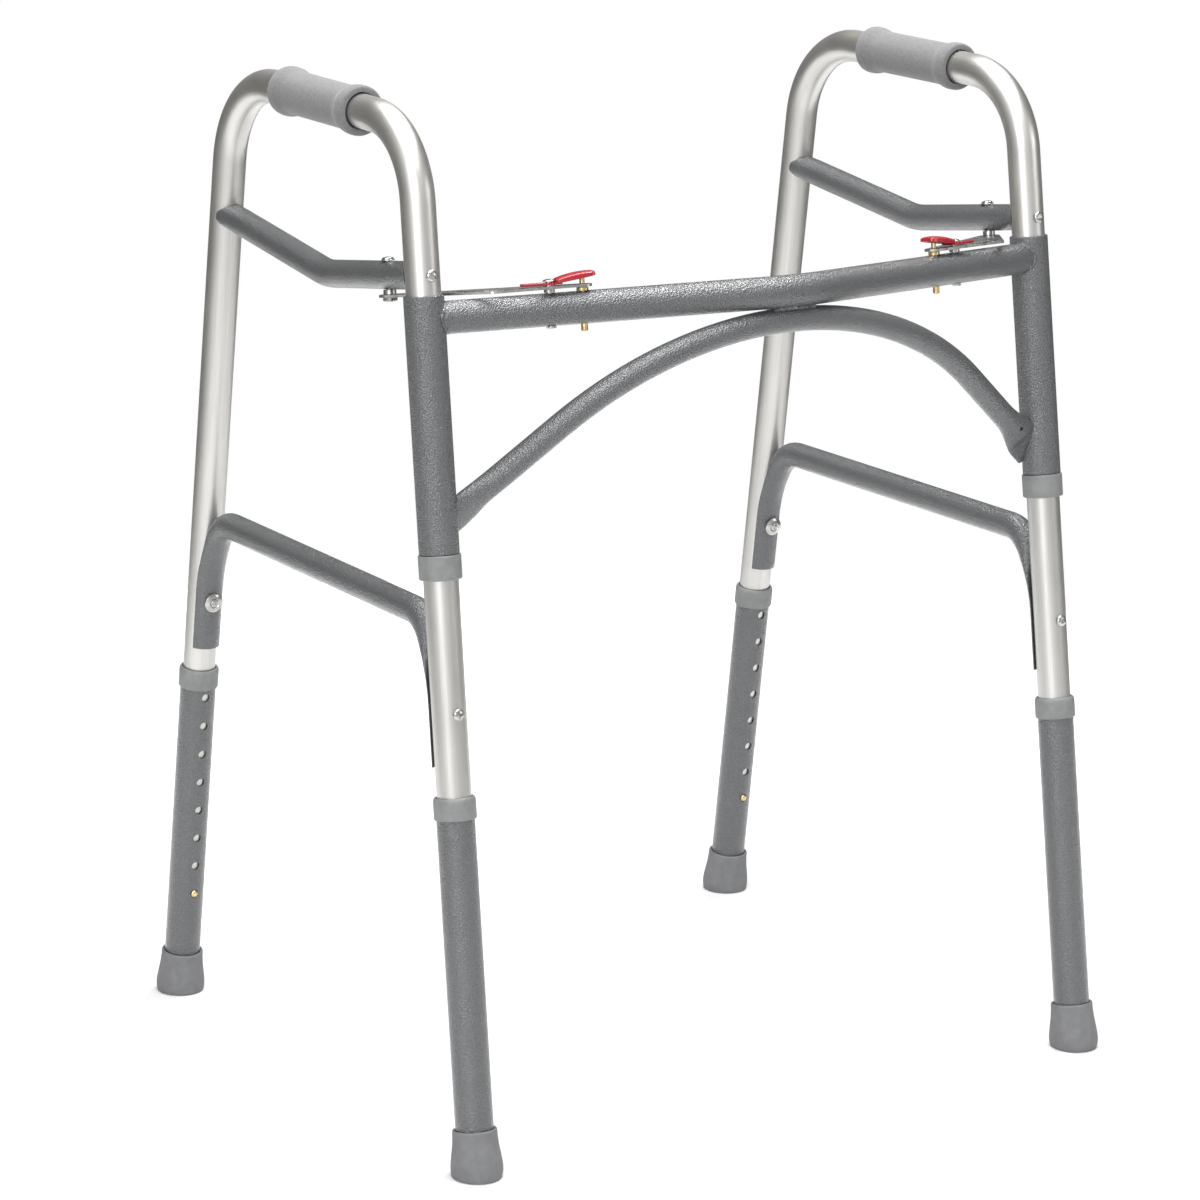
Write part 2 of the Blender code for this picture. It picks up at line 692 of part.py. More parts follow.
def link_plate(side, sign):
    bolt, _rivet, pin = lock_points(sign)
    line = slot_line(sign)
    outer = hull_outline([(bolt, 8.5 * MM), (pin, 7.5 * MM), (line[len(line) // 2], 8.5 * MM)])
    outlines = [outer, disc_outline(bolt, 3.1 * MM), disc_outline(pin, 3.4 * MM),
                slot_outline(line, 3.3 * MM)]
    middle = PLATE_LEVEL + PLATE_THICKNESS / 2
    moved = [[spot - bolt for spot in outline] for outline in outlines]
    add_part(f"{side}_link_plate", plate_mesh(moved, PLATE_THICKNESS), "zinc_steel", SEAT[side],
             (bolt.x, bolt.y, middle))


def guide_rivet(side, sign):
    bar_low = CROSSBAR_LEVEL - CROSSBAR_RADIUS
    bar_top = CROSSBAR_LEVEL + CROSSBAR_RADIUS
    shank = 2.5 * MM
    head_seat = PLATE_LEVEL + PLATE_THICKNESS + LEVER_LIFT + LEVER_THICKNESS + 0.9 * MM
    profile = [(0, head_seat + 1.8 * MM), (3.5 * MM, head_seat + 1.8 * MM), (5 * MM, head_seat + MM),
               (5 * MM, head_seat), (shank, head_seat), (shank, PLATE_LEVEL - GAP),
               (4.2 * MM, PLATE_LEVEL - GAP), (4.2 * MM, bar_top + GAP), (shank, bar_top + GAP),
               (shank, bar_low - GAP), (4 * MM, bar_low - GAP), (3 * MM, bar_low - 2 * MM),
               (0, bar_low - 2 * MM)]
    add_part(f"{side}_guide_rivet", turned_mesh(profile, 12), "zinc_steel", SEAT[side],
             (*crossbar_place(sign, RIVET_REACH).xy, 0))


def release_lever(side, sign):
    """A red lever that rocks on the guide rivet: a flat tail, and a raised arm with a thumb button."""
    half = LEVER_THICKNESS / 2
    level = PLATE_LEVEL + PLATE_THICKNESS + LEVER_LIFT + half
    along = crossbar_place(sign, 1) - crossbar_place(sign, 0)
    rivet = crossbar_place(sign, RIVET_REACH)
    pivot = add_empty(f"{side}_lever_pivot", (rivet.x, rivet.y, level),
                      (0, 0, math.atan2(along.y, along.x)), SEAT[side])
    width, tail, bend = 10.4 * MM, 22 * MM, 6 * MM
    lever = add_part(f"{side}_release_lever", box_mesh((tail + bend, width, LEVER_THICKNESS)),
                     "red_plastic", pivot, ((bend - tail) / 2, 0, 0))
    slope, rise = math.tan(LEVER_TILT), (-math.sin(LEVER_TILT), 0, math.cos(LEVER_TILT))
    arm_start, arm_middle, button_middle = 5 * MM, 17 * MM, 20 * MM
    cut(lever, box_mesh((width, 26 * MM, LEVER_THICKNESS)), pivot,
        (arm_middle, 0, (arm_middle - arm_start) * slope), rise, "UNION")
    cut(lever, button_dome(8 * MM, 15.5 * MM, 3.4 * MM), pivot,
        (button_middle, 0, (button_middle - arm_start) * slope + half), rise, "UNION")
    drill(lever, pivot, Vector((0, 0, -5 * MM)), (0, 0, 1), 10 * MM, 3.4 * MM, 10)
    drill(lever, pivot, Vector((0, 0, half)), (0, 0, 1), 30 * MM, 6.4 * MM, 12)
    reach = PIN_REACH - RIVET_REACH
    top = (reach - arm_start) * slope - half - GAP
    bottom = GAP - LEVER_LIFT - half
    stud = [(0, top), (2 * MM, top - 0.4 * MM), (2 * MM, bottom), (0, bottom)]
    add_part(f"{side}_lever_stud", turned_mesh(stud, 10), "brass", pivot, (reach, 0, 0))


def button_dome(half_width, half_length, height):
    """A low oval dome with a nearly flat underside."""
    mesh = bpy.data.meshes.new("dome")
    work = bmesh.new()
    bmesh.ops.create_uvsphere(work, u_segments=16, v_segments=8, radius=1,
                              matrix=Matrix.Diagonal((half_width, half_length, height, 1)))
    for vert in work.verts:
        if vert.co.z < 0:
            vert.co.z *= 0.2
    work.to_mesh(mesh)
    work.free()
    return mesh


def lock_pin(side, sign):
    low = CROSSBAR_LEVEL - CROSSBAR_RADIUS - 5.5 * MM
    top = PLATE_LEVEL - GAP
    shoulder = 4.6 * MM
    profile = [(0, top), (shoulder, top), (shoulder, top - 3.2 * MM), (2.6 * MM, top - 3.2 * MM),
               (2.6 * MM, low), (0, low)]
    place = (*crossbar_place(sign, PIN_REACH).xy, 0)
    add_part(f"{side}_lock_pin", turned_mesh(profile, 12), "brass", SEAT[side], place)

    spring_low = CROSSBAR_LEVEL - CROSSBAR_RADIUS + CROSSBAR_WALL + 1.2 * MM
    spring_high = top - 3.2 * MM - 0.9 * MM
    turns, per_turn, coil = 5, 8, 3.6 * MM
    count = turns * per_turn
    points = [(coil * math.cos(2 * math.pi * i / per_turn), coil * math.sin(2 * math.pi * i / per_turn),
               spring_low + (spring_high - spring_low) * i / count) for i in range(count + 1)]
    add_part(f"{side}_pin_spring", tube_mesh(points, 0.5 * MM, 6), "zinc_steel", SEAT[side], place)


def build():
    for side, sign in SIDES:
        tube = side_tube(side)
        grip(side)
        upper = upper_brace(side)
        lower = lower_brace(side)
        side_fasteners(side, tube, upper, lower)
        link_bolt(side, upper)
        for leg in LEGS:
            leg_extension(side, leg)
            snap_button(side, leg)
        hinge_sleeve(side)
        link_plate(side, sign)
        guide_rivet(side, sign)
        release_lever(side, sign)
        lock_pin(side, sign)
    crossbar()
    arch_brace()


build()
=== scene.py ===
"""Looks of a folding walking frame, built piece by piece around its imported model.

Metres, +Z up, +X to the user's right, -Y to the front. Each piece is modelled near the world's
origin in the place that suits it best, and is then set down in the frame of its leg, hinge or
crossbar, so that every finished object sits at the origin with its place in its mesh.
"""

import logging
import math
from collections.abc import Callable, Sequence
from dataclasses import dataclass, field
from enum import Enum
from functools import cached_property

import bpy
from mathutils import Matrix, Vector


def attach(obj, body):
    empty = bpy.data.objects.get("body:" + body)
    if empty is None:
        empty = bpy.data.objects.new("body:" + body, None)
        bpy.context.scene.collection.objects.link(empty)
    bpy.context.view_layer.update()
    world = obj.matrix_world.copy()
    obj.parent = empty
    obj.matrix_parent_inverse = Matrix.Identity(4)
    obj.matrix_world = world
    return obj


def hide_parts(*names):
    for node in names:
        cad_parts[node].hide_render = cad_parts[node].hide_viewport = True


LOG = logging.getLogger("walking_frame")
MM = 0.001
UP = Vector((0, 0, 1))
ACROSS = Vector((1, 0, 0))
BACK = Vector((0, 1, 0))

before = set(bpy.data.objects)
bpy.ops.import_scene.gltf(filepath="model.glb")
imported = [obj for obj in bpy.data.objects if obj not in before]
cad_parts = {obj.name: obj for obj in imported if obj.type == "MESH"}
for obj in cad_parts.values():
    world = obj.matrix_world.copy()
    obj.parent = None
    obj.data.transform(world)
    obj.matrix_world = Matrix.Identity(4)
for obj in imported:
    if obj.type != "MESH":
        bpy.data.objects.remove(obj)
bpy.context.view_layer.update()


class Side(Enum):
    """The two sides of the frame, as the user sees them."""

    LEFT = -1
    RIGHT = 1

    @property
    def word(self) -> str:
        """The side's name in the names of pieces and bodies."""
        return self.name.lower()


class Leg(Enum):
    """The two legs of a side frame."""

    FRONT = "front"
    REAR = "rear"


# Places


@dataclass(frozen=True)
class Stance:
    """How the frame stands: the lean, splay and spacing of its legs."""

    half_width: float = 294.5 * MM
    foot_spacing: float = 497.0 * MM
    front_lean: float = math.radians(8.82)
    rear_lean: float = math.radians(6.38)
    splay: float = math.radians(0.38)
    toe: float = math.radians(1.13)

    def front(self) -> Matrix:
        """The frame that leans back with the front legs, at the middle of their feet."""
        middle = Matrix.Translation((0, -self.foot_spacing / 2, 0))
        return middle @ Matrix.Rotation(-self.front_lean, 4, "X")

    def seat(self, side: Side) -> Matrix:
        """Gives a front leg's frame, for what stays with the crossbar.

        Args:
            side: the side of the frame.

        Returns:
            The frame, with z up along the leg from its foot.
        """
        sign = side.value
        lean = Matrix.Rotation(-sign * self.splay, 4, "Y")
        return self.front() @ Matrix.Translation((sign * self.half_width, 0, 0)) @ lean

    def hinge(self, side: Side) -> Matrix:
        """A front leg's frame, for what folds with the side frame."""
        return self.seat(side) @ Matrix.Rotation(side.value * self.toe, 4, "Z")

    def upright(self, behind: float, height: float) -> Vector:
        """Finds a point of a side frame in its hinge's frame.

        Args:
            behind: distance behind the front foot.
            height: height above the floor.

        Returns:
            The point, in the plane of the side frame.
        """
        cos, sin = math.cos(self.front_lean), math.sin(self.front_lean)
        return Vector((0, behind * cos - height * sin, behind * sin + height * cos))

    def foot(self, leg: Leg) -> Vector:
        """Where a leg's axis meets the floor, in the hinge's frame."""
        return Vector() if leg is Leg.FRONT else self.upright(self.foot_spacing, 0)

    def direction(self, leg: Leg) -> Vector:
        """Gives the direction up along a leg, in the hinge's frame."""
        lean = 0.0 if leg is Leg.FRONT else self.front_lean + self.rear_lean
        return Vector((0, -math.sin(lean), math.cos(lean)))

    def inward(self, leg: Leg) -> Vector:
        """Finds the direction square to a leg towards the other leg.

        Args:
            leg: the leg.

        Returns:
            The direction, in the hinge's frame.
        """
        along = self.direction(leg)
        towards = Vector((0, along.z, -along.y))
        return towards if leg is Leg.FRONT else -towards

    def at_height(self, leg: Leg, height: float) -> Vector:
        """Finds the point of a leg's axis at a height above the floor.

        Args:
            leg: the leg.
            height: height above the floor.

        Returns:
            The point, in the hinge's frame.
        """
        along = self.direction(leg)
        rise = along.z * math.cos(self.front_lean) - along.y * math.sin(self.front_lean)
        return self.foot(leg) + along * height / rise

    def leg(self, side: Side, leg: Leg) -> Matrix:
        """Gives a leg's frame: z up along it from the floor, y towards the other leg.

        Args:
            side: the side of the frame.
            leg: the leg.

        Returns:
            The frame, in the room.
        """
        up, inward = self.direction(leg), self.inward(leg)
        turn = Matrix((inward.cross(up), inward, up)).transposed().to_4x4()
        return self.hinge(side) @ Matrix.Translation(self.foot(leg)) @ turn


STANCE = Stance()


@dataclass(frozen=True)
class Spine:
    """A bent line in a plane, with its distance along it, that tubes are drawn and shaped on."""

    points: tuple[Vector, ...]
    across: Vector

    @cached_property
    def lengths(self) -> list[float]:
        """The distance along the line at each of its points."""
        total, found = 0.0, [0.0]
        for near, far in zip(self.points, self.points[1:]):
            total += (far - near).length
            found.append(total)
        return found

    def locate(self, point: Vector) -> tuple[float, Vector, Vector]:
        """Finds a point's place on the line.

        Args:
            point: any point near the line.

        Returns:
            The distance along the line, the line's point there, and the outward direction there.
        """
        best = (math.inf, 0.0, self.points[0], UP)
        for start, near, far in zip(self.lengths, self.points, self.points[1:]):
            step = far - near
            share = min(max((point - near).dot(step) / step.length_squared, 0.0), 1.0)
            on = near + step * share
            off = (point - on).length_squared
            if off < best[0]:
                best = (off, start + step.length * share, on, self.across.cross(step).normalized())
        return best[1:]


# Modelling tools


class Bench:
    """Adds pieces, shapes them with the modelling operators, and sets them down in place."""

    @staticmethod
    def clear() -> None:
        """Leaves edit mode and deselects everything."""
        if bpy.context.mode != "OBJECT":
            bpy.ops.object.mode_set(mode="OBJECT")
        bpy.ops.object.select_all(action="DESELECT")

    @staticmethod
    def pick(piece: bpy.types.Object) -> None:
        """Selects one piece and makes it the active one.

        Args:
            piece: the piece.
        """
        Bench.clear()
        piece.select_set(True)
        bpy.context.view_layer.objects.active = piece

    @staticmethod
    def edit(piece: bpy.types.Object) -> None:
        """Enters edit mode on a piece with its whole mesh selected.

        Args:
            piece: the piece.
        """
        Bench.pick(piece)
        bpy.ops.object.mode_set(mode="EDIT")
        bpy.ops.mesh.select_all(action="SELECT")

    @staticmethod
    def added(name: str) -> bpy.types.Object:
        """Names the piece just added and works its place into its mesh.

        Args:
            name: the piece's name.

        Returns:
            The piece.
        """
        piece = bpy.context.object
        piece.name = piece.data.name = name
        bpy.ops.object.transform_apply(location=True, rotation=True, scale=True)
        return piece

    @staticmethod
    def ring(name: str, radius: float, place: Vector, heading: Vector, sides: int,
             solid: bool = False) -> bpy.types.Object:
        """Adds a circle of edges, or a disc, square to a heading.

        Args:
            name: the piece's name.
            radius: the circle's radius.
            place: the circle's centre.
            heading: the direction that the circle faces.
            sides: how many edges it has.
            solid: fills the circle.

        Returns:
            The circle.
        """
        Bench.clear()
        bpy.ops.mesh.primitive_circle_add(
            vertices=sides, radius=radius, fill_type="NGON" if solid else "NOTHING",
            location=place, rotation=heading.to_track_quat("Z", "Y").to_euler())
        return Bench.added(name)

    @staticmethod
    def turned(name: str, profile: Sequence[tuple[float, float]], sides: int = 40,
               hollow: bool = False) -> bpy.types.Object:
        """Turns a piece about z by drawing one ring along a profile.

        Args:
            name: the piece's name.
            profile: (radius, height) steps. A solid piece starts and ends on a flat face.
            sides: how many sides the turned piece has.
            hollow: closes the profile on itself, which leaves a bore.

        Returns:
            The closed piece.
        """
        radius, height = profile[0]
        piece = Bench.ring(name, radius, UP * height, UP, sides, solid=not hollow)
        Bench.edit(piece)
        for wider, higher in [*profile[1:], *([profile[0]] if hollow else [])]:
            bpy.ops.mesh.extrude_region_move(TRANSFORM_OT_translate={"value": (0, 0, higher - height)})
            scale = wider / radius
            bpy.ops.transform.resize(value=(scale, scale, 1), center_override=(0, 0, higher))
            radius, height = wider, higher
        Bench.close(piece)
        return piece

    @staticmethod
    def close(piece: bpy.types.Object) -> None:
        """Merges doubled points and turns every face outwards.

        Args:
            piece: the piece.
        """
        Bench.edit(piece)
        bpy.ops.mesh.remove_doubles(threshold=0.002 * MM)
        bpy.ops.mesh.normals_make_consistent(inside=False)
        Bench.clear()

    @staticmethod
    def box(name: str, size: Sequence[float], place: Sequence[float],
            turn: Sequence[float] = (0, 0, 0)) -> bpy.types.Object:
        """Adds a block to be shaped further or to cut with.

        Args:
            name: the piece's name.
            size: its length along each axis.
            place: its centre.
            turn: its turn about each axis.

        Returns:
            The block.
        """
        Bench.clear()
        bpy.ops.mesh.primitive_cube_add(size=1, location=place, rotation=turn, scale=size)
        return Bench.added(name)

    @staticmethod
    def rod(name: str, radius: float, start: Vector, end: Vector, sides: int = 32) -> bpy.types.Object:
        """Adds a round bar to be shaped further or to cut with.

        Args:
            name: the piece's name.
            radius: the bar's radius.
            start: the middle of its first end.
            end: the middle of its other end.
            sides: how many sides it has.

        Returns:
            The bar.
        """
        Bench.clear()
        along = end - start
        bpy.ops.mesh.primitive_cylinder_add(
            vertices=sides, radius=radius, depth=along.length, location=(start + end) / 2,
            rotation=along.to_track_quat("Z", "Y").to_euler())
        return Bench.added(name)

    @staticmethod
    def modify(piece: bpy.types.Object, kind: str, **settings: object) -> None:
        """Adds a modifier with its settings and applies it.

        Args:
            piece: the piece.
            kind: the modifier's type.
            settings: the modifier's settings, by name.
        """
        Bench.pick(piece)
        modifier = piece.modifiers.new(kind.title(), kind)
        for name, value in settings.items():
            setattr(modifier, name, value)
        bpy.ops.object.modifier_apply(modifier=modifier.name)

    @staticmethod
    def cut(piece: bpy.types.Object, cutter: bpy.types.Object, operation: str = "DIFFERENCE") -> None:
        """Cuts a piece with a closed cutter, or joins the two, and removes the cutter."""
        Bench.modify(piece, "BOOLEAN", operation=operation, solver="EXACT", object=cutter)
        bpy.data.objects.remove(cutter, do_unlink=True)

    @staticmethod
    def wall(piece: bpy.types.Object, thickness: float) -> None:
        """Gives a tube's skin a wall of a thickness on its inner side."""
        Bench.modify(piece, "SOLIDIFY", thickness=thickness, offset=-1, use_even_offset=True)

    @staticmethod
    def soften(piece: bpy.types.Object, width: float, segments: int = 2, angle: float = 35) -> None:
        """Rounds the edges sharper than an angle in degrees."""
        Bench.modify(piece, "BEVEL", width=width, segments=segments, limit_method="ANGLE",
                     angle_limit=math.radians(angle), harden_normals=False)

    @staticmethod
    def smooth(piece: bpy.types.Object, angle: float = 35) -> None:
        """Shades a piece smooth up to an angle in degrees."""
        Bench.pick(piece)
        bpy.ops.object.shade_smooth_by_angle(angle=math.radians(angle))

    @staticmethod
    def copy(piece: bpy.types.Object, name: str) -> bpy.types.Object:
        """Copies a piece with its own mesh.

        Args:
            piece: the piece to copy.
            name: the copy's name.

        Returns:
            The copy.
        """
        twin = piece.copy()
        twin.data = piece.data.copy()
        twin.name = twin.data.name = name
        bpy.context.scene.collection.objects.link(twin)
        return twin

    @staticmethod
    def join(pieces: Sequence[bpy.types.Object]) -> bpy.types.Object:
        """Joins pieces into the first one.

        Args:
            pieces: the pieces.

        Returns:
            The first piece, which now holds them all.
        """
        Bench.pick(pieces[0])
        for piece in pieces:
            piece.select_set(True)
        bpy.ops.object.join()
        return pieces[0]

    @staticmethod
    def set_down(piece: bpy.types.Object, place: Matrix) -> None:
        """Moves a piece from where it was modelled into its frame.

        Args:
            piece: the piece.
            place: the frame that it goes in.
        """
        Bench.pick(piece)
        piece.matrix_world = place
        bpy.ops.object.transform_apply(location=True, rotation=True, scale=True)

    @staticmethod
    def reshape(piece: bpy.types.Object, move: Callable[[Vector], Vector]) -> None:
        """Presses a piece into shape.

        Args:
            piece: the piece.
            move: gives the new place of each point.
        """
        for vertex in piece.data.vertices:
            vertex.co = move(vertex.co.copy())
        piece.data.update()

    @staticmethod
    def wrap(piece: bpy.types.Object, spine: Spine, radius: float) -> None:
        """Lays a map on a tube: once round it across, and its length in tube turns along it.

        Args:
            piece: the tube.
            spine: the line that it was drawn on.
            radius: its radius.
        """
        mesh = piece.data
        layer = mesh.uv_layers.new(name="wrap") if not mesh.uv_layers else mesh.uv_layers[0]
        layer.name = "wrap"
        spots = []
        for vertex in mesh.vertices:
            length, on, outward = spine.locate(vertex.co)
            off = vertex.co - on
            turn = math.atan2(off.dot(spine.across), off.dot(outward)) / (2 * math.pi)
            spots.append((turn, length / (2 * math.pi * radius)))
        for face in mesh.polygons:
            turns = [spots[mesh.loops[i].vertex_index][0] for i in face.loop_indices]
            for i, turn in zip(face.loop_indices, turns):
                lift = 1.0 if max(turns) - turn > 0.5 else 0.0
                layer.data[i].uv = (turn + lift, spots[mesh.loops[i].vertex_index][1])


@dataclass
class Pipe:
    """A tube made from one ring of edges, run straight and spun round its bends."""

    name: str
    radius: float
    place: Vector
    heading: Vector
    sides: int = 48
    points: list[Vector] = field(default_factory=list)

    def __post_init__(self) -> None:
        """Adds the first ring."""
        self.piece = Bench.ring(self.name, self.radius, self.place, self.heading, self.sides)
        self.points.append(self.place.copy())
        Bench.edit(self.piece)

    def run(self, length: float, steps: int = 1) -> "Pipe":
        """Draws the tube straight on.

        Args:
            length: how far.
            steps: how many parts the run has.

        Returns:
            The same tube.
        """
        for _ in range(steps):
            step = self.heading * length / steps
            bpy.ops.mesh.extrude_region_move(TRANSFORM_OT_translate={"value": step})
            self.place = self.place + step
            self.points.append(self.place.copy())
        return self

    def bend(self, towards: Vector, radius: float, angle: float, steps: int = 16) -> "Pipe":
        """Bends the tube round a centre beside it.

        Args:
            towards: the side that it bends to, square to its heading.
            radius: the bend's radius.
            angle: how far it turns.
            steps: how many parts the bend has.

        Returns:
            The same tube.
        """
        centre = self.place + towards * radius
        axis = self.heading.cross(towards)
        bpy.ops.mesh.spin(steps=steps, angle=angle, center=centre, axis=-axis)
        start = self.place - centre
        for i in range(1, steps + 1):
            self.points.append(centre + Matrix.Rotation(angle * i / steps, 3, axis) @ start)
        self.place = self.points[-1].copy()
        self.heading = (Matrix.Rotation(angle, 3, axis) @ self.heading).normalized()
        return self

    def follow(self, corners: Sequence[Vector], radii: Sequence[float], runs: int = 1,
               steps: int = 16) -> "Pipe":
        """Runs on through corners, rounding each but the last by its own radius.

        Args:
            corners: the corners ahead and, last, the tube's end.
            radii: the bend radius at each corner but the last.
            runs: how many parts each straight run has.
            steps: how many parts each bend has.

        Returns:
            The same tube.
        """
        for corner, after, radius in zip(corners, corners[1:], radii):
            ahead = (after - corner).normalized()
            angle = self.heading.angle(ahead)
            towards = (ahead - self.heading * ahead.dot(self.heading)).normalized()
            self.run((corner - self.place).length - radius * math.tan(angle / 2), runs)
            self.bend(towards, radius, angle, steps)
        return self.run((corners[-1] - self.place).length, runs)

    def done(self, across: Vector) -> tuple[bpy.types.Object, Spine]:
        """Leaves edit mode.

        Args:
            across: the direction square to the plane of the bends.

        Returns:
            The open tube and its spine.
        """
        Bench.close(self.piece)
        return self.piece, Spine(tuple(self.points), across)


def cap_ends(piece: bpy.types.Object) -> None:
    """Closes the open ends of a tube's skin and turns its faces outwards.

    Args:
        piece: the piece.
    """
    Bench.edit(piece)
    bpy.ops.mesh.select_all(action="DESELECT")
    bpy.ops.mesh.select_non_manifold(extend=False)
    bpy.ops.mesh.fill_holes(sides=0)
    Bench.close(piece)


# Finishes


class Graph:
    """The node tree of one material, with short ways to add its patterns."""

    def __init__(self, name: str) -> None:
        """Starts a material with one shader and the piece's own coordinates.

        Args:
            name: the material's name.
        """
        self.material = bpy.data.materials.new(name)
        self.material.use_nodes = True
        self.tree = self.material.node_tree
        self.shader = self.tree.nodes["Principled BSDF"]
        self.spot = self.tree.nodes.new("ShaderNodeTexCoord")

    def set(self, **values: float | tuple[float, ...]) -> None:
        """Sets constants on the shader's own sockets, by their names with underscores."""
        for name, value in values.items():
            self.shader.inputs[name.replace("_", " ")].default_value = value

    def link(self, source: bpy.types.NodeSocket, socket: str) -> None:
        """Feeds a pattern to one of the shader's sockets."""
        self.tree.links.new(source, self.shader.inputs[socket])

    def add(self, kind: str, wires: dict[str, bpy.types.NodeSocket] | None = None,
            **values: object) -> bpy.types.Node:
        """Adds a node.

        Args:
            kind: the node's type.
            wires: what feeds which of its sockets.
            values: constants for its sockets, or settings of the node itself.

        Returns:
            The node.
        """
        node = self.tree.nodes.new(kind)
        for name, value in values.items():
            title = name.replace("_", " ").title()
            if title in node.inputs:
                node.inputs[title].default_value = value
            else:
                setattr(node, name, value)
        for name, source in (wires or {}).items():
            self.tree.links.new(source, node.inputs[name])
        return node

    def stretch(self, scale: Sequence[float], mapped: bool = False) -> bpy.types.NodeSocket:
        """Stretches the piece's coordinates, or its wrap map.

        Args:
            scale: the scale on each axis.
            mapped: takes the wrap map.

        Returns:
            The stretched coordinates.
        """
        source = self.spot.outputs["UV" if mapped else "Object"]
        return self.add("ShaderNodeMapping", {"Vector": source}, scale=tuple(scale)).outputs[0]

    def noise(self, scale: float, detail: float = 2.0, roughness: float = 0.5,
              spot: bpy.types.NodeSocket | None = None) -> bpy.types.NodeSocket:
        """Adds a cloudy pattern.

        Args:
            scale: how many clouds fit in a metre.
            detail: how many finer layers it has.
            roughness: how strong the finer layers are.
            spot: the coordinates to draw it on, if not the piece's own.

        Returns:
            The pattern.
        """
        spot = spot or self.spot.outputs["Object"]
        node = self.add("ShaderNodeTexNoise", {"Vector": spot}, scale=scale, detail=detail,
                        roughness=roughness)
        return node.outputs["Fac"]

    def cells(self, scale: float, smoothness: float = 0.6,
              spot: bpy.types.NodeSocket | None = None) -> bpy.types.NodeSocket:
        """Adds a pattern of rounded cells.

        Args:
            scale: how many cells fit in a metre.
            smoothness: how soft their borders are.
            spot: the coordinates to draw it on, if not the piece's own.

        Returns:
            The distance from each cell's middle.
        """
        spot = spot or self.spot.outputs["Object"]
        node = self.add("ShaderNodeTexVoronoi", {"Vector": spot}, feature="SMOOTH_F1", scale=scale)
        node.inputs["Smoothness"].default_value = smoothness
        return node.outputs["Distance"]

    def ramp(self, source: bpy.types.NodeSocket, low: float, high: float, dark: Sequence[float],
             light: Sequence[float]) -> bpy.types.NodeSocket:
        """Turns a pattern into a colour between two others.

        Args:
            source: the pattern.
            low: where the dark colour ends.
            high: where the light colour starts.
            dark: the dark colour.
            light: the light colour.

        Returns:
            The colour.
        """
        node = self.add("ShaderNodeValToRGB", {"Fac": source})
        ends = node.color_ramp.elements
        ends[0].position, ends[1].position = low, high
        ends[0].color, ends[1].color = (*dark, 1), (*light, 1)
        return node.outputs["Color"]

    def between(self, source: bpy.types.NodeSocket, low: float, high: float) -> bpy.types.NodeSocket:
        """Turns the middle half of a pattern into a number.

        Args:
            source: the pattern.
            low: the number at a quarter of the pattern's range.
            high: the number at three quarters of it.

        Returns:
            The number.
        """
        node = self.add("ShaderNodeMapRange", {"Value": source})
        node.inputs["From Min"].default_value, node.inputs["From Max"].default_value = 0.25, 0.75
        node.inputs["To Min"].default_value, node.inputs["To Max"].default_value = low, high
        return node.outputs["Result"]

    def bump(self, source: bpy.types.NodeSocket, depth: float, strength: float = 1.0,
             under: bpy.types.NodeSocket | None = None) -> bpy.types.NodeSocket:
        """Raises the surface by a pattern.

        Args:
            source: the pattern.
            depth: the height of its full range.
            strength: how much of it shows.
            under: another bump that this one lies on.

        Returns:
            The surface's new direction.
        """
        wires = {"Height": source}
        if under is not None:
            wires["Normal"] = under
        return self.add("ShaderNodeBump", wires, strength=strength, distance=depth).outputs["Normal"]


@dataclass(frozen=True)
class Finish:
    """One finish of the frame: its material slot, and how its material is made."""

    slot: str

    @cached_property
    def material(self) -> bpy.types.Material:
        """The material, made once."""
        graph = Graph(f"{self.slot}_finish")
        self.draw(graph)
        return graph.material

    def draw(self, graph: Graph) -> None:
        """Draws the finish's nodes."""
        raise NotImplementedError


@dataclass(frozen=True)
class HammertonePaint(Finish):
    """Dark grey powder coat that dries in small leathery cells with bright rims."""

    slot: str = "hammertone_paint"
    cell: float = 1.25 * MM
    dark: tuple[float, float, float] = (0.070, 0.074, 0.077)
    light: tuple[float, float, float] = (0.115, 0.120, 0.125)

    def draw(self, graph: Graph) -> None:
        """Draws cells in relief, a flake in the colour, and a clear gloss over both.

        Args:
            graph: the graph that it is drawn in.
        """
        cells = graph.cells(1 / self.cell)
        flake = graph.noise(1.4 / self.cell, 3.0, 0.6)
        clouds = graph.noise(30.0, 2.0)
        graph.link(graph.ramp(flake, 0.35, 0.65, self.dark, self.light), "Base Color")
        graph.link(graph.between(clouds, 0.3, 0.42), "Roughness")
        relief = graph.bump(flake, 0.5 * MM, 0.5, graph.bump(cells, 0.8 * MM, 0.8))
        graph.link(relief, "Normal")
        graph.link(relief, "Coat Normal")
        graph.set(Metallic=0.3, Coat_Weight=0.8, Coat_Roughness=0.1, Specular_IOR_Level=0.5)


@dataclass(frozen=True)
class SatinAluminium(Finish):
    """Clear anodised aluminium tube, with fine drawn lines along it."""

    slot: str = "satin_aluminium"

    def draw(self, graph: Graph) -> None:
        """Draws lines along the tube and soft clouds in the gloss.

        Args:
            graph: the graph that it is drawn in.
        """
        lines = graph.noise(1.0, 3.0, 0.6, graph.stretch((90, 1.2, 1), mapped=True))
        clouds = graph.noise(22.0, 3.0)
        graph.link(graph.ramp(lines, 0.3, 0.7, (0.56, 0.553, 0.53), (0.65, 0.642, 0.62)), "Base Color")
        graph.link(graph.between(clouds, 0.36, 0.44), "Roughness")
        graph.link(graph.bump(lines, 0.02 * MM, 0.5), "Normal")
        graph.set(Metallic=1.0)


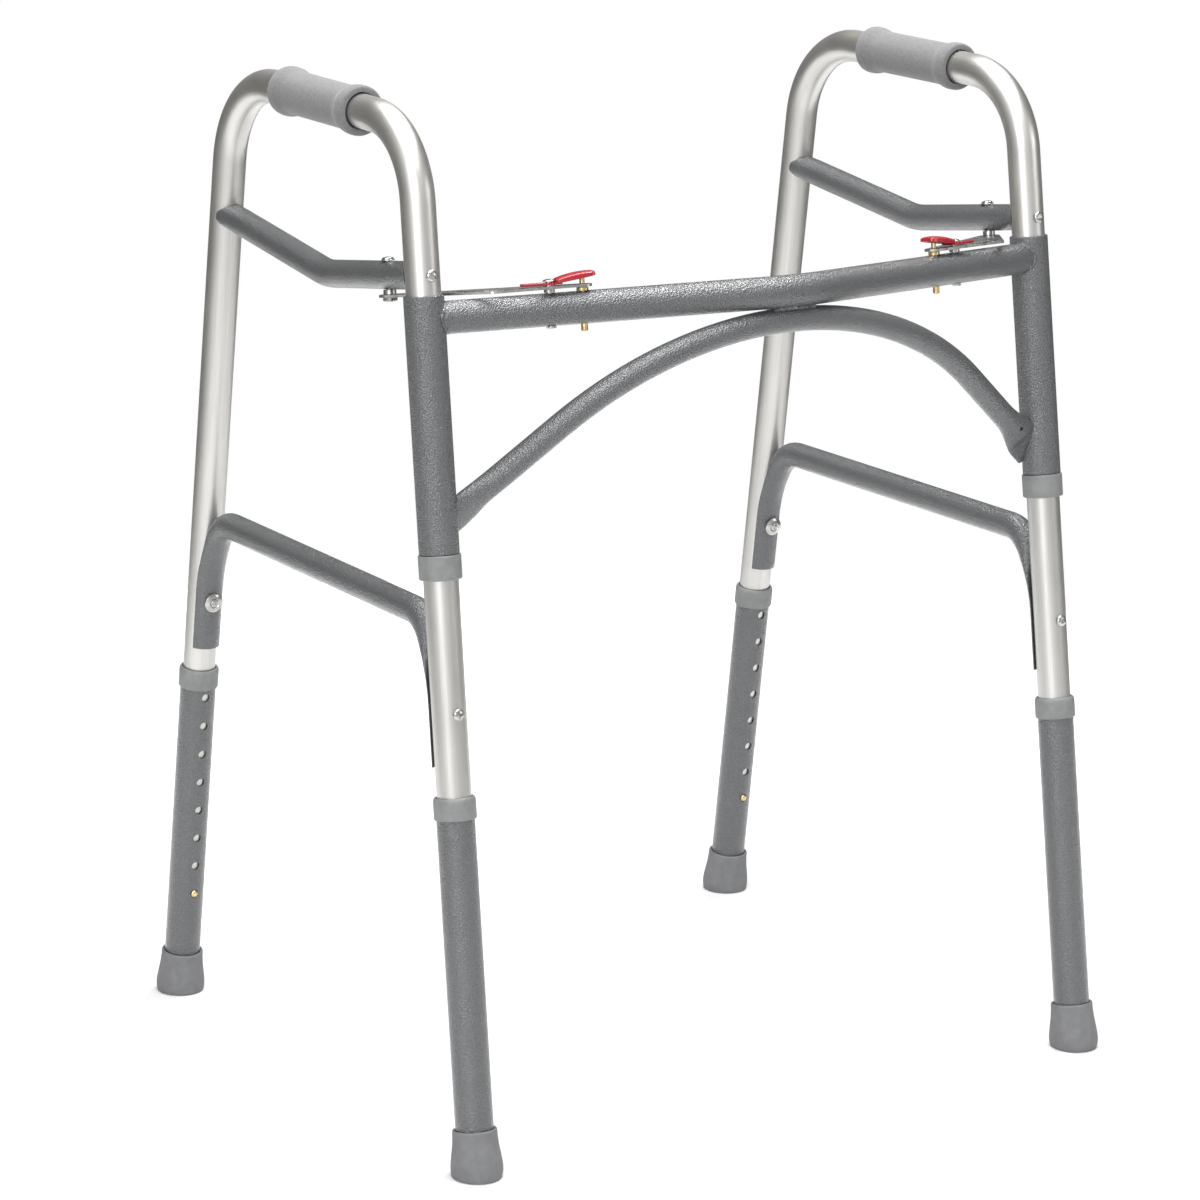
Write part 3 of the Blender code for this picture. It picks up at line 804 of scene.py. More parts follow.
@dataclass(frozen=True)
class FoamRubber(Finish):
    """Light grey closed-cell foam with fine open pores on its skin."""

    slot: str = "foam_rubber"

    def draw(self, graph: Graph) -> None:
        """Draws pores, mottling and a soft sheen.

        Args:
            graph: the graph that it is drawn in.
        """
        pores = graph.cells(1 / (0.9 * MM), 0.3)
        mottle = graph.noise(420.0, 4.0, 0.65)
        graph.link(graph.ramp(mottle, 0.35, 0.65, (0.125, 0.125, 0.128), (0.165, 0.165, 0.168)),
                   "Base Color")
        soft = graph.bump(mottle, 0.35 * MM, 0.5)
        graph.link(graph.bump(pores, 0.25 * MM, 0.6, soft), "Normal")
        graph.set(Roughness=0.92, Sheen_Weight=0.25, Sheen_Roughness=0.5)


@dataclass(frozen=True)
class Moulded(Finish):
    """A moulded plastic or rubber with a fine grain."""

    tone: tuple[float, float, float] = (0.2, 0.2, 0.2)
    gloss: float = 0.5
    grain: float = 0.08 * MM

    def draw(self, graph: Graph) -> None:
        """Draws a slight mottle and the grain of the mould.

        Args:
            graph: the graph that it is drawn in.
        """
        mottle = graph.noise(140.0, 3.0)
        grain = graph.noise(1400.0, 3.0, 0.6)
        dark = tuple(0.88 * part for part in self.tone)
        light = tuple(1.1 * part for part in self.tone)
        graph.link(graph.ramp(mottle, 0.3, 0.7, dark, light), "Base Color")
        graph.link(graph.between(mottle, self.gloss - 0.05, self.gloss + 0.07), "Roughness")
        graph.link(graph.bump(grain, self.grain, 0.5), "Normal")


@dataclass(frozen=True)
class Plated(Finish):
    """A plated or turned metal, with clouds in its gloss."""

    tone: tuple[float, float, float] = (0.6, 0.6, 0.6)
    gloss: float = 0.25

    def draw(self, graph: Graph) -> None:
        """Draws the plating's clouds and fine scratches.

        Args:
            graph: the graph that it is drawn in.
        """
        clouds = graph.noise(260.0, 3.0)
        fine = graph.noise(1.0, 2.0, 0.5, graph.stretch((2600, 500, 500)))
        dark = tuple(0.85 * part for part in self.tone)
        light = tuple(min(1.1 * part, 1.0) for part in self.tone)
        graph.link(graph.ramp(clouds, 0.3, 0.7, dark, light), "Base Color")
        graph.link(graph.between(clouds, self.gloss - 0.06, self.gloss + 0.1), "Roughness")
        graph.link(graph.bump(fine, 0.015 * MM, 0.5), "Normal")
        graph.set(Metallic=1.0)


@dataclass(frozen=True)
class GlossRed(Finish):
    """Deep red glossy moulding with a clear skin."""

    slot: str = "red_plastic"

    def draw(self, graph: Graph) -> None:
        """Draws a slight flow of colour under the gloss.

        Args:
            graph: the graph that it is drawn in.
        """
        flow = graph.noise(160.0, 3.0)
        graph.link(graph.ramp(flow, 0.3, 0.7, (0.24, 0.006, 0.014), (0.36, 0.011, 0.022)), "Base Color")
        graph.link(graph.between(flow, 0.22, 0.32), "Roughness")
        graph.link(graph.bump(flow, 0.05 * MM, 0.3), "Normal")
        graph.set(Coat_Weight=0.4, Coat_Roughness=0.08)


PAINT = HammertonePaint()
ALUMINIUM = SatinAluminium()
FOAM = FoamRubber()
COLLAR = Moulded("collar_plastic", (0.185, 0.19, 0.19), 0.46)
RUBBER = Moulded("tip_rubber", (0.15, 0.152, 0.158), 0.62, 0.12 * MM)
ZINC = Plated("zinc_steel", (0.50, 0.50, 0.49), 0.26)
BRASS = Plated("brass", (0.72, 0.56, 0.30), 0.24)
RED = GlossRed()


def dress(piece: bpy.types.Object, finish: Finish, body: str, *nodes: str) -> None:
    """Gives a finished piece its material and body, and hides the plain nodes it stands for.

    Args:
        piece: the piece, in place.
        finish: its finish.
        body: the body that it rides on.
        nodes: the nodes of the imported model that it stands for.
    """
    piece.data.materials.clear()
    piece.data.materials.append(finish.material)
    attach(piece, body)
    if nodes:
        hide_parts(*nodes)
    LOG.info("%s on %s", piece.name, body)


def keep(node: str, finish: Finish) -> None:
    """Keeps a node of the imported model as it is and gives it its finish.

    Args:
        node: the node's name.
        finish: its finish.
    """
    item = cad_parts[node]
    for held in item.material_slots:
        held.material = finish.material
    LOG.info("%s kept", node)


# Small hardware


@dataclass
class Screw:
    """A pan-head cross-recess screw, its seat at zero and its head above."""

    head: float = 4.6 * MM
    height: float = 2.8 * MM
    shank: float = 2.1 * MM

    def build(self, name: str, length: float) -> bpy.types.Object:
        """Turns the screw and cuts the cross recess in its head.

        Args:
            name: the piece's name.
            length: the length of the shank.

        Returns:
            The screw, standing on z.
        """
        head, height, shank = self.head, self.height, self.shank
        rise = [(head * math.cos(turn), 0.35 * height + 0.65 * height * math.sin(turn))
                for turn in (math.radians(part) for part in (80, 60, 40, 20, 0))]
        screw = Bench.turned(name, [*rise, (head, 0), (shank, 0), (shank, -length)], 32)
        for turn in (0.0, math.pi / 2):
            slot = Bench.box("slot", (0.62 * head * 2, 1.0 * MM, 2.2 * MM), (0, 0, height), (0, 0, turn))
            Bench.cut(screw, slot)
        Bench.soften(screw, 0.12 * MM, 1)
        Bench.smooth(screw)
        return screw


# Side frames


@dataclass
class SideFrame:
    """One side frame: a bent tube with its grip, two braces and their fasteners."""

    side: Side
    grip_height: float = 796.5 * MM
    tube: float = 13.5 * MM
    tube_wall: float = 1.6 * MM
    tube_end: float = 73.0 * MM
    bends: tuple[float, float] = (67.0 * MM, 77.0 * MM)
    brace: float = 10.9 * MM
    upper: tuple[tuple[float, float], ...] = (
        (414.0 * MM, 682.8 * MM), (251.0 * MM, 662.4 * MM), (112.5 * MM, 684.2 * MM))
    lower_height: float = 428.7 * MM
    strip_low: float = 315.0 * MM
    screw_height: float = 356.0 * MM

    @property
    def body(self) -> str:
        """The body that the side frame's pieces ride on."""
        return f"{self.side.word}_side_frame"

    @property
    def hinge(self) -> Matrix:
        """The frame that the pieces are modelled in."""
        return STANCE.hinge(self.side)

    def name(self, piece: str) -> str:
        """A piece's name with its side."""
        return f"{self.side.word}_{piece}"

    def build(self) -> None:
        """Builds and dresses all of the side frame."""
        self.handle_tube()
        self.grip()
        self.upper_brace()
        self.lower_brace()
        self.fasteners()
        self.link_bolt()

    def handle_tube(self) -> None:
        """Bends the tube that makes both legs and the handle, with clamp marks by its bends."""
        ends = [STANCE.foot(leg) + STANCE.direction(leg) * self.tube_end for leg in Leg]
        tops = [STANCE.at_height(leg, self.grip_height) for leg in Leg]
        pipe = Pipe(self.name("handle_tube"), self.tube, ends[0], STANCE.direction(Leg.FRONT), 56)
        pipe.follow([*tops, ends[1]], self.bends, 12, 28)
        piece, spine = pipe.done(ACROSS)
        Bench.reshape(piece, self.clamp_marks(spine))
        Bench.wrap(piece, spine, self.tube)
        Bench.wall(piece, self.tube_wall)
        Bench.smooth(piece)
        Bench.set_down(piece, self.hinge)
        dress(piece, ALUMINIUM, self.body, self.name("side_tube"))

    def clamp_marks(self, spine: Spine) -> Callable[[Vector], Vector]:
        """Presses the sides of each bend slightly flat, as a bending die does.

        Args:
            spine: the tube's line.

        Returns:
            What moves each point of the tube.
        """
        flattened, onset = 0.35 * MM, 2.5

        def move(point: Vector) -> Vector:
            """Draws a point in towards the tube's line where the tube bends.

            Args:
                point: the point.

            Returns:
                Its new place.
            """
            _length, on, outward = spine.locate(point)
            bent = abs(outward.dot(STANCE.inward(Leg.FRONT))) * abs(outward.dot(UP))
            off = point - on
            share = min(1.0, onset * bent) * abs(off.normalized().dot(outward))
            return on + off * (1 - flattened / self.tube * share)

        return move

    def grip(self) -> None:
        """Moulds the foam grip: a soft tube with a rolled flare at each end."""
        half, bore = 59.0 * MM, 13.9 * MM
        body, flare = 17.3 * MM, 19.7 * MM
        end = [(bore, half - 0.6 * MM), (14.6 * MM, half), (17.9 * MM, half), (19.2 * MM, half - 0.9 * MM),
               (flare, half - 3.0 * MM), (flare, half - 7.5 * MM), (19.4 * MM, half - 10.5 * MM),
               (18.5 * MM, half - 13.5 * MM), (17.7 * MM, half - 16.5 * MM), (body, half - 20 * MM)]
        middle = [(body, height * MM) for height in (26, 13, 0, -13, -26)]
        profile = [*end, *middle, *[(radius, -height) for radius, height in reversed(end)]]
        piece = Bench.turned(self.name("foam_grip"), profile, 56, hollow=True)
        Bench.modify(piece, "SUBSURF", levels=2, render_levels=2)
        along = (STANCE.upright(1, 0) - STANCE.upright(0, 0)).to_track_quat("Z", "Y").to_matrix().to_4x4()
        Bench.smooth(piece, 50)
        middle_spot = Matrix.Translation(STANCE.upright(260 * MM, self.grip_height))
        Bench.set_down(piece, self.hinge @ middle_spot @ along)
        dress(piece, FOAM, self.body, self.name("grip"))

    def leg_clearance(self, leg: Leg) -> bpy.types.Object:
        """Makes the cutter that keeps a piece clear of a leg."""
        foot, along, low, high = STANCE.foot(leg), STANCE.direction(leg), 0.1, 0.76
        return Bench.rod("clearance", self.tube + 0.4 * MM, foot + along * low, foot + along * high, 64)

    def upper_brace(self) -> None:
        """Bends the upper brace, flattens its ends and copes them to the legs."""
        corners = [STANCE.upright(*spot) for spot in self.upper]
        start, first = corners[0], (corners[1] - corners[0]).normalized()
        pipe = Pipe(self.name("bent_brace"), self.brace, start, first, 48)
        pipe.follow(corners[1:], (75 * MM,), 14, 14)
        piece, spine = pipe.done(ACROSS)
        total, reach, widened, thinned = spine.lengths[-1], 24 * MM, 0.2, 0.08

        def move(point: Vector) -> Vector:
            """Presses a point near an end slightly flat and wide.

            Args:
                point: the point.

            Returns:
                Its new place.
            """
            length, on, outward = spine.locate(point)
            end = max(0.0, 1 - min(length, total - length) / reach)
            press = end * end * (3 - 2 * end)
            off = point - on
            wide, thin = 1 + widened * press, 1 - thinned * press
            return on + ACROSS * off.x * wide + outward * off.dot(outward) * thin

        Bench.reshape(piece, move)
        cap_ends(piece)
        for leg in Leg:
            Bench.cut(piece, self.leg_clearance(leg))
        Bench.soften(piece, 0.6 * MM, 2, 50)
        Bench.smooth(piece)
        Bench.set_down(piece, self.hinge)
        dress(piece, PAINT, self.body, self.name("upper_brace"))

    def strip_point(self, leg: Leg, height: float, reach: float) -> Vector:
        """Gives a point at a height, out from a leg's axis towards the other leg."""
        return STANCE.at_height(leg, height) + STANCE.inward(leg) * reach

    def lower_brace(self) -> None:
        """Bends the lower brace and presses its long ends into strips that hug the legs."""
        strip, tube = 14.8 * MM, 24.0 * MM
        top, low = self.lower_height, self.strip_low
        ends = {leg: [self.strip_point(leg, low, strip), self.strip_point(leg, top - 60 * MM, strip),
                      self.strip_point(leg, top - 30 * MM, 18.0 * MM)] for leg in Leg}
        rear, front = ends[Leg.REAR], ends[Leg.FRONT]
        corners = [rear[1], rear[2], self.strip_point(Leg.REAR, top, tube),
                   self.strip_point(Leg.FRONT, top, tube), front[2], front[1], front[0]]
        pipe = Pipe(self.name("leg_brace"), self.brace, rear[0], (rear[1] - rear[0]).normalized(), 48)
        pipe.follow(corners, (90 * MM, 60 * MM, 28 * MM, 28 * MM, 60 * MM, 90 * MM), 10, 8)
        piece, spine = pipe.done(ACROSS)
        total = spine.lengths[-1]
        flat_end, round_start, cup = 62 * MM, 112 * MM, 17.0 * MM
        widened, thinned = 0.14, 0.77

        def move(point: Vector) -> Vector:
            """Presses a point of an end into the flat, cupped strip.

            Args:
                point: the point.

            Returns:
                Its new place.
            """
            length, on, outward = spine.locate(point)
            end = min(length, total - length)
            press = min(max((round_start - end) / (round_start - flat_end), 0.0), 1.0)
            press = press * press * (3 - 2 * press)
            off = point - on
            wide = off.x * (1 + widened * press)
            sag = (cup - math.sqrt(cup * cup - wide * wide)) * press
            return on + ACROSS * wide + outward * (off.dot(outward) * (1 - thinned * press) - sag)

        Bench.reshape(piece, move)
        cap_ends(piece)
        for leg in Leg:
            Bench.cut(piece, self.leg_clearance(leg))
        Bench.soften(piece, 0.5 * MM, 2, 50)
        Bench.smooth(piece)
        Bench.set_down(piece, self.hinge)
        dress(piece, PAINT, self.body, self.name("lower_brace"))

    def stand(self, spot: Vector, outward: Vector) -> Matrix:
        """Gives the frame of a fastener that stands outward at a spot."""
        turn = outward.to_track_quat("Z", "Y").to_matrix().to_4x4()
        return self.hinge @ Matrix.Translation(spot) @ turn

    def fasteners(self) -> None:
        """Sets the cross-head screws, and the cupped washer of the lower rear one."""
        seat, washer_seat = self.tube + 0.3 * MM, 18.4 * MM
        level = STANCE.upright(*self.upper[-1]).z
        rear_brace = STANCE.at_height(Leg.REAR, self.upper[0][1])
        spots = {
            "upper_front_screw": (Vector((0, 0, level)), Leg.FRONT, -1, seat, 38),
            "upper_rear_screw": (rear_brace, Leg.REAR, -1, seat, 38),
            "lower_front_screw": (STANCE.at_height(Leg.FRONT, self.screw_height), Leg.FRONT, -1, seat, 34),
            "lower_rear_screw": (STANCE.at_height(Leg.REAR, self.screw_height), Leg.REAR, 1,
                                 washer_seat + 0.9 * MM, 22),
        }
        for node, (spot, leg, way, lift, length) in spots.items():
            outward = STANCE.inward(leg) * way
            head = Screw(3.4 * MM, 1.5 * MM) if node == "lower_rear_screw" else Screw()
            screw = head.build(self.name(node.replace("screw", "bolt")), length * MM)
            Bench.set_down(screw, self.stand(spot + outward * lift, outward))
            dress(screw, ZINC, self.body, self.name(node))
        rim = [(2.7 * MM, 0.9 * MM), (3.7 * MM, 1.0 * MM), (4.4 * MM, 1.9 * MM), (6.6 * MM, 1.5 * MM),
               (8.1 * MM, 0.4 * MM), (8.1 * MM, 0.02 * MM), (6.0 * MM, 0.4 * MM), (2.7 * MM, 0.4 * MM)]
        washer = Bench.turned(self.name("cupped_washer"), rim, 48, hollow=True)
        Bench.smooth(washer, 50)
        outward = STANCE.inward(Leg.REAR)
        spot = STANCE.at_height(Leg.REAR, self.screw_height) + outward * washer_seat
        Bench.set_down(washer, self.stand(spot, outward))
        dress(washer, ZINC, self.body, self.name("lower_rear_washer"))

    def link_bolt(self) -> None:
        """Turns the link plate's bolt: domed nut and washer above the brace, shoulder below."""
        top = STANCE.upright(*self.upper[-1]).z + self.brace
        under, over, reach = 676.1 * MM, 678.7 * MM, 51 * MM
        bottom = top - 2 * self.brace - 0.3 * MM
        shank, shoulder, head = 2.6 * MM, 5.0 * MM, 5.6 * MM
        profile = [(1.6 * MM, top + 2.9 * MM), (shank, top + 2.6 * MM), (shank, bottom), (shoulder, bottom),
                   (shoulder, over), (shank, over), (shank, under), (head, under),
                   (head, under - 2.4 * MM), (head - 0.8 * MM, under - 3.2 * MM)]
        bolt = Bench.turned(self.name("plate_bolt"), profile, 32)
        nut = Bench.turned("nut", [(3.4 * MM, top + 2.5 * MM), (4.3 * MM, top + 2.2 * MM),
                                   (4.6 * MM, top + 1.8 * MM), (4.6 * MM, top + 0.7 * MM)], 6)
        washer = Bench.turned("washer", [(5.6 * MM, top + 0.7 * MM), (5.6 * MM, top + 0.1 * MM)], 32)
        for item in (bolt, nut, washer):
            Bench.soften(item, 0.15 * MM, 1)
            Bench.smooth(item)
        Bench.join([bolt, nut, washer])
        Bench.set_down(bolt, self.hinge @ Matrix.Translation((0, reach, 0)))
        dress(bolt, ZINC, self.body, self.name("link_bolt"))


# Leg extensions


@dataclass
class LegExtension:
    """A leg's sliding foot: holed tube, plastic collar, rubber tip and snap button."""

    tube: float = 14.9 * MM
    wall: float = 0.95 * MM
    foot: float = 6.0 * MM
    top: float = 291.3 * MM
    first_hole: float = 94.3 * MM
    pitch: float = 25.4 * MM
    holes: int = 8
    hole: float = 3.5 * MM

    def model_tube(self) -> bpy.types.Object:
        """Draws the tube and drills its row of adjustment holes.

        Returns:
            The tube, standing on z.
        """
        pipe = Pipe("extension", self.tube, UP * self.foot, UP, 56)
        pipe.run(self.top - self.foot, 10)
        piece, _spine = pipe.done(ACROSS)
        Bench.wall(piece, self.wall)
        for i in range(self.holes):
            spot = UP * (self.first_hole + i * self.pitch)
            Bench.cut(piece, Bench.rod("hole", self.hole, spot + BACK * 8 * MM, spot + BACK * 20 * MM))
        Bench.smooth(piece)
        return piece

    def model_collar(self) -> bpy.types.Object:
        """Turns the collar that closes the gap over the tube's top, with a rounded rim.

        Returns:
            The collar, standing on z.
        """
        lip, skirt = 13.7 * MM, self.tube + 0.25 * MM
        low, high, ledge = 278.8 * MM, 296.3 * MM, self.top + 0.3 * MM
        outer = 16.55 * MM
        profile = [(lip, high - 1.2 * MM), (14.0 * MM, high - 0.3 * MM), (14.6 * MM, high),
                   (15.2 * MM, high - 0.3 * MM), (15.9 * MM, high - 1.1 * MM),
                   (16.35 * MM, high - 2.2 * MM), (outer, high - 3.6 * MM),
                   (outer, high - 5 * MM), (outer, low + 0.7 * MM), (outer - 0.5 * MM, low),
                   (skirt, low), (skirt, ledge), (lip, ledge)]
        piece = Bench.turned("collar", profile, 56, hollow=True)
        Bench.soften(piece, 0.2 * MM, 2, 25)
        Bench.smooth(piece, 30)
        return piece

    def model_tip(self, lean: Matrix) -> bpy.types.Object:
        """Moulds the flared tip with its lip, and trims its tread flat on the floor.

        Args:
            lean: the leg's frame, which says how the floor lies under the tip.

        Returns:
            The tip, in place in the room.
        """
        bore, rim = self.tube + 0.25 * MM, 37.0 * MM
        profile = [(bore, self.foot - 0.3 * MM), (bore, rim - 0.7 * MM), (bore + 0.6 * MM, rim),
                   (16.6 * MM, rim), (17.3 * MM, rim - 0.6 * MM), (17.5 * MM, rim - 1.8 * MM),
                   (17.6 * MM, 31 * MM), (18.2 * MM, 24 * MM), (19.3 * MM, 17 * MM), (20.1 * MM, 11 * MM),
                   (20.4 * MM, 7 * MM), (20.3 * MM, 3.6 * MM), (19.7 * MM, 0.6 * MM),
                   (18.6 * MM, -2.4 * MM), (18.6 * MM, -8 * MM), (4 * MM, -8 * MM), (4 * MM, 5.7 * MM)]
        piece = Bench.turned("tip", profile, 72, hollow=True)
        Bench.smooth(piece, 40)
        Bench.set_down(piece, lean)
        foot = lean.translation
        floor = Bench.box("floor", (0.08, 0.08, 0.02), (foot.x, foot.y, -0.01))
        Bench.cut(piece, floor)
        for radius in (8 * MM, 14 * MM):
            groove = Bench.turned("groove", [(radius, -1 * MM), (radius + 1.6 * MM, -1 * MM),
                                             (radius + 1.2 * MM, 1.0 * MM), (radius + 0.4 * MM, 1.0 * MM)],
                                  48, hollow=True)
            Bench.set_down(groove, Matrix.Translation((foot.x, foot.y, 0)))
            Bench.cut(piece, groove)
        Bench.smooth(piece, 40)
        return piece

    def model_button(self) -> bpy.types.Object:
        """Turns the snap button with its dome, and shapes the leaf spring behind it.

        Returns:
            The button and its spring, at the height of the floor.
        """
        swell, radius = 2.0 * MM, 3.0 * MM
        crown = self.tube + swell
        turns = [math.radians(part) for part in (82, 70, 55, 40, 25, 12, 0)]
        dome = [(radius * math.cos(turn), crown - swell + swell * math.sin(turn)) for turn in turns]
        button = Bench.turned("button", [*dome, (radius, 9.6 * MM)], 32)
        Bench.set_down(button, Matrix.Rotation(-math.pi / 2, 4, "X"))
        leaf = Bench.box("leaf", (7 * MM, 0.8 * MM, 46 * MM), (0, 9.7 * MM, 17 * MM))
        Bench.soften(leaf, 0.25 * MM, 2)
        Bench.smooth(button, 50)
        return Bench.join([button, leaf])

    def build(self) -> None:
        """Models each piece once, and sets down a copy on every leg."""
        tube, collar, button = self.model_tube(), self.model_collar(), self.model_button()
        for side in Side:
            for leg in Leg:
                place, word = STANCE.leg(side, leg), f"{side.word}_{leg.value}"
                for model, name, finish, body, node, lift in (
                        (tube, "holed_tube", PAINT, "extension", "extension_tube", 0),
                        (collar, "top_collar", COLLAR, "extension", "extension_collar", 0),
                        (button, "brass_button", BRASS, "button", "snap_button", self.first_hole)):
                    piece = Bench.copy(model, f"{word}_{name}")
                    Bench.set_down(piece, place @ Matrix.Translation((0, 0, lift)))
                    dress(piece, finish, f"{word}_{body}", f"{word}_{node}")
                tip = self.model_tip(place)
                tip.name = tip.data.name = f"{word}_flared_tip"
                dress(tip, RUBBER, f"{word}_extension", f"{word}_rubber_tip")
        for model in (tube, collar, button):
            bpy.data.objects.remove(model, do_unlink=True)


# Front frame


@dataclass
class FrontFrame:
    """The crossbar, its arch brace and the sleeves that the side frames turn in."""

    body: str = "front_frame"
    sleeve: float = 15.6 * MM
    bore: float = 13.95 * MM
    sleeve_low: float = 482.3 * MM
    sleeve_top: float = 678.4 * MM
    collar_low: float = 463.3 * MM
    bar: float = 12.7 * MM
    bar_wall: float = 1.6 * MM
    bar_level: float = 660.6 * MM
    bow: float = 76.0 * MM
    bar_bend: float = 110.0 * MM
    rivet_reach: float = 99.5 * MM
    pin_reach: float = 126.0 * MM
    arch: float = 9.8 * MM
    arch_bend: float = 300.0 * MM
    arch_turn: float = math.radians(41)
    arch_reach: float = 286.0 * MM
    arch_height: float = 639.3 * MM
    arch_behind: float = 31.0 * MM
    arch_slope: float = -0.35

    @property
    def span(self) -> float:
        """Half the crossbar's width, square to a sleeve."""
        rise = self.bar_level * math.sin(STANCE.splay)
        return (STANCE.half_width - rise) / math.cos(STANCE.splay)

    def along(self, side: Side) -> Vector:
        """Gives the crossbar's direction from a hinge, in that side's seat frame."""
        return Vector((-side.value * self.span, -self.bow, 0)).normalized()

    def on_bar(self, side: Side, reach: float) -> Vector:
        """Gives a point on the crossbar's axis, in the seat frame."""
        return UP * self.bar_level + self.along(side) * reach

    def build(self) -> None:
        """Builds and dresses all of the front frame."""
        for side in Side:
            self.sleeves(side)
        self.crossbar()
        self.arch_brace()

    def sleeves(self, side: Side) -> None:
        """Turns a hinge sleeve with rolled edges and the collar under it.

        Args:
            side: the side of the frame.
        """
        low, top = self.sleeve_low, self.sleeve_top
        heights = [top - (top - low) * i / 10 for i in range(11)]
        inner, outer = self.bore, self.sleeve
        profile = [(inner, top - 0.3 * MM), (inner + 0.5 * MM, top), (outer - 0.6 * MM, top),
                   (outer, top - 0.6 * MM), *[(outer, height) for height in heights[1:-1]],
                   (outer, low + 0.5 * MM), (outer - 0.5 * MM, low), (inner, low)]
        piece = Bench.turned(f"{side.word}_sleeve", profile, 64, hollow=True)
        Bench.smooth(piece, 30)
        Bench.set_down(piece, STANCE.seat(side))
        dress(piece, PAINT, self.body, f"{side.word}_hinge_sleeve")
        high, base, ring = low - 0.3 * MM, self.collar_low, 16.55 * MM
        profile = [(inner, high), (ring - 0.5 * MM, high), (ring, high - 0.6 * MM), (ring, high - 9 * MM),
                   (ring - 0.05 * MM, base + 0.8 * MM), (ring - 0.7 * MM, base), (inner, base)]
        collar = Bench.turned(f"{side.word}_sleeve_ring", profile, 64, hollow=True)
        Bench.smooth(collar, 30)
        Bench.set_down(collar, STANCE.seat(side))
        dress(collar, COLLAR, self.body, f"{side.word}_sleeve_collar")

    def sleeve_cutter(self, side: Side, spare: float) -> bpy.types.Object:
        """Makes a cutter round a sleeve.

        Args:
            side: the side of the frame.
            spare: how far it stands off the sleeve.

        Returns:
            The cutter, in the front frame.
        """
        cutter = Bench.rod("sleeve_cutter", self.sleeve + spare, UP * 0.4, UP * 0.72, 72)
        Bench.set_down(cutter, STANCE.front().inverted() @ STANCE.seat(side))
        return cutter

    def weld_bead(self, name: str, points: Sequence[Vector], radius: float, seed: int) -> bpy.types.Object:
        """Lays a rippled bead of weld along a line of points.

        Args:
            name: the piece's name.
            points: the line, in the front frame.
            radius: the bead's radius.
            seed: which ripple pattern it takes.

        Returns:
            The bead, closed and smooth.
        """
        spine = Spine(tuple(points), UP)
        pipe = Pipe(name, radius, points[0].copy(), (points[1] - points[0]).normalized(), 12)
        for point in points[1:]:
            pipe.heading = (point - pipe.place).normalized()
            pipe.run((point - pipe.place).length)
        piece, _line = pipe.done(UP)
        long_wave, short_wave, swell, shiver = 0.9 * MM, 0.37 * MM, 0.16, 0.07

        def move(point: Vector) -> Vector:
            """Swells and thins the bead along its line.

            Args:
                point: the point.

            Returns:
                Its new place.
            """
            length, on, _outward = spine.locate(point)
            ripple = 1 + swell * math.sin(length / long_wave + seed) + shiver * math.sin(length / short_wave)
            return on + (point - on) * ripple

        Bench.reshape(piece, move)
        cap_ends(piece)
        Bench.smooth(piece, 60)
        return piece

    def crossbar(self) -> None:
        """Bends the crossbar, copes it to the sleeves, drills it and welds it on."""
        inverse = STANCE.front().inverted()
        seats = {side: inverse @ STANCE.seat(side) for side in Side}
        half = math.hypot(self.span, self.bow)
        corners = [seats[side] @ self.on_bar(side, reach)
                   for side, reach in ((Side.LEFT, 0), (Side.LEFT, half), (Side.RIGHT, 0))]
        pipe = Pipe("bowed_crossbar", self.bar, corners[0], (corners[1] - corners[0]).normalized(), 56)
        pipe.follow(corners[1:], (self.bar_bend,), 10, 14)
        piece, _spine = pipe.done(UP)
        Bench.wall(piece, self.bar_wall)
        for side in Side:
            Bench.cut(piece, self.sleeve_cutter(side, 0.05 * MM))
        past = 20
        holes = ((self.rivet_reach, -past, past, 2.9), (self.pin_reach, -past, 0, 3.2),
                 (self.pin_reach, 0, past, 5.2))
        for side in Side:
            for reach, low, high, radius in holes:
                spot = self.on_bar(side, reach)
                hole = Bench.rod("hole", radius * MM, spot + UP * low * MM, spot + UP * high * MM)
                Bench.set_down(hole, seats[side])
                Bench.cut(piece, hole)
        Bench.smooth(piece)
        Bench.set_down(piece, STANCE.front())
        dress(piece, PAINT, self.body, "front_crossbar")
        for side in Side:
            self.bar_weld(side)

    def bar_weld(self, side: Side) -> None:
        """Welds the crossbar's end to its sleeve, all round the joint.

        Args:
            side: the side of the frame.
        """
        along = self.along(side)
        sideways = UP.cross(along)
        points, steps = [], 60
        for i in range(steps + 1):
            turn = 2 * math.pi * i / steps
            off = self.bar * math.cos(turn)
            reach = math.sqrt(self.sleeve ** 2 - off ** 2)
            points.append(UP * (self.bar_level + self.bar * math.sin(turn)) + sideways * off
                          + along * (reach + 0.5 * MM))
        bead = self.weld_bead(f"{side.word}_bar_weld", points, 1.3 * MM, side.value)
        Bench.set_down(bead, STANCE.seat(side))
        dress(bead, PAINT, self.body)

    def arch_point(self, across: float, drop: float) -> Vector:
        """Finds a point of the arch's leaning plane.

        Args:
            across: distance to the right of the middle.
            drop: distance below the arch's top, in its plane.

        Returns:
            The point, in the front frame.
        """
        fall = drop / math.sqrt(1 + self.arch_slope ** 2)
        spot = STANCE.upright(self.arch_behind - self.arch_slope * fall, self.arch_height - fall)
        return Vector((across, spot.y, spot.z))

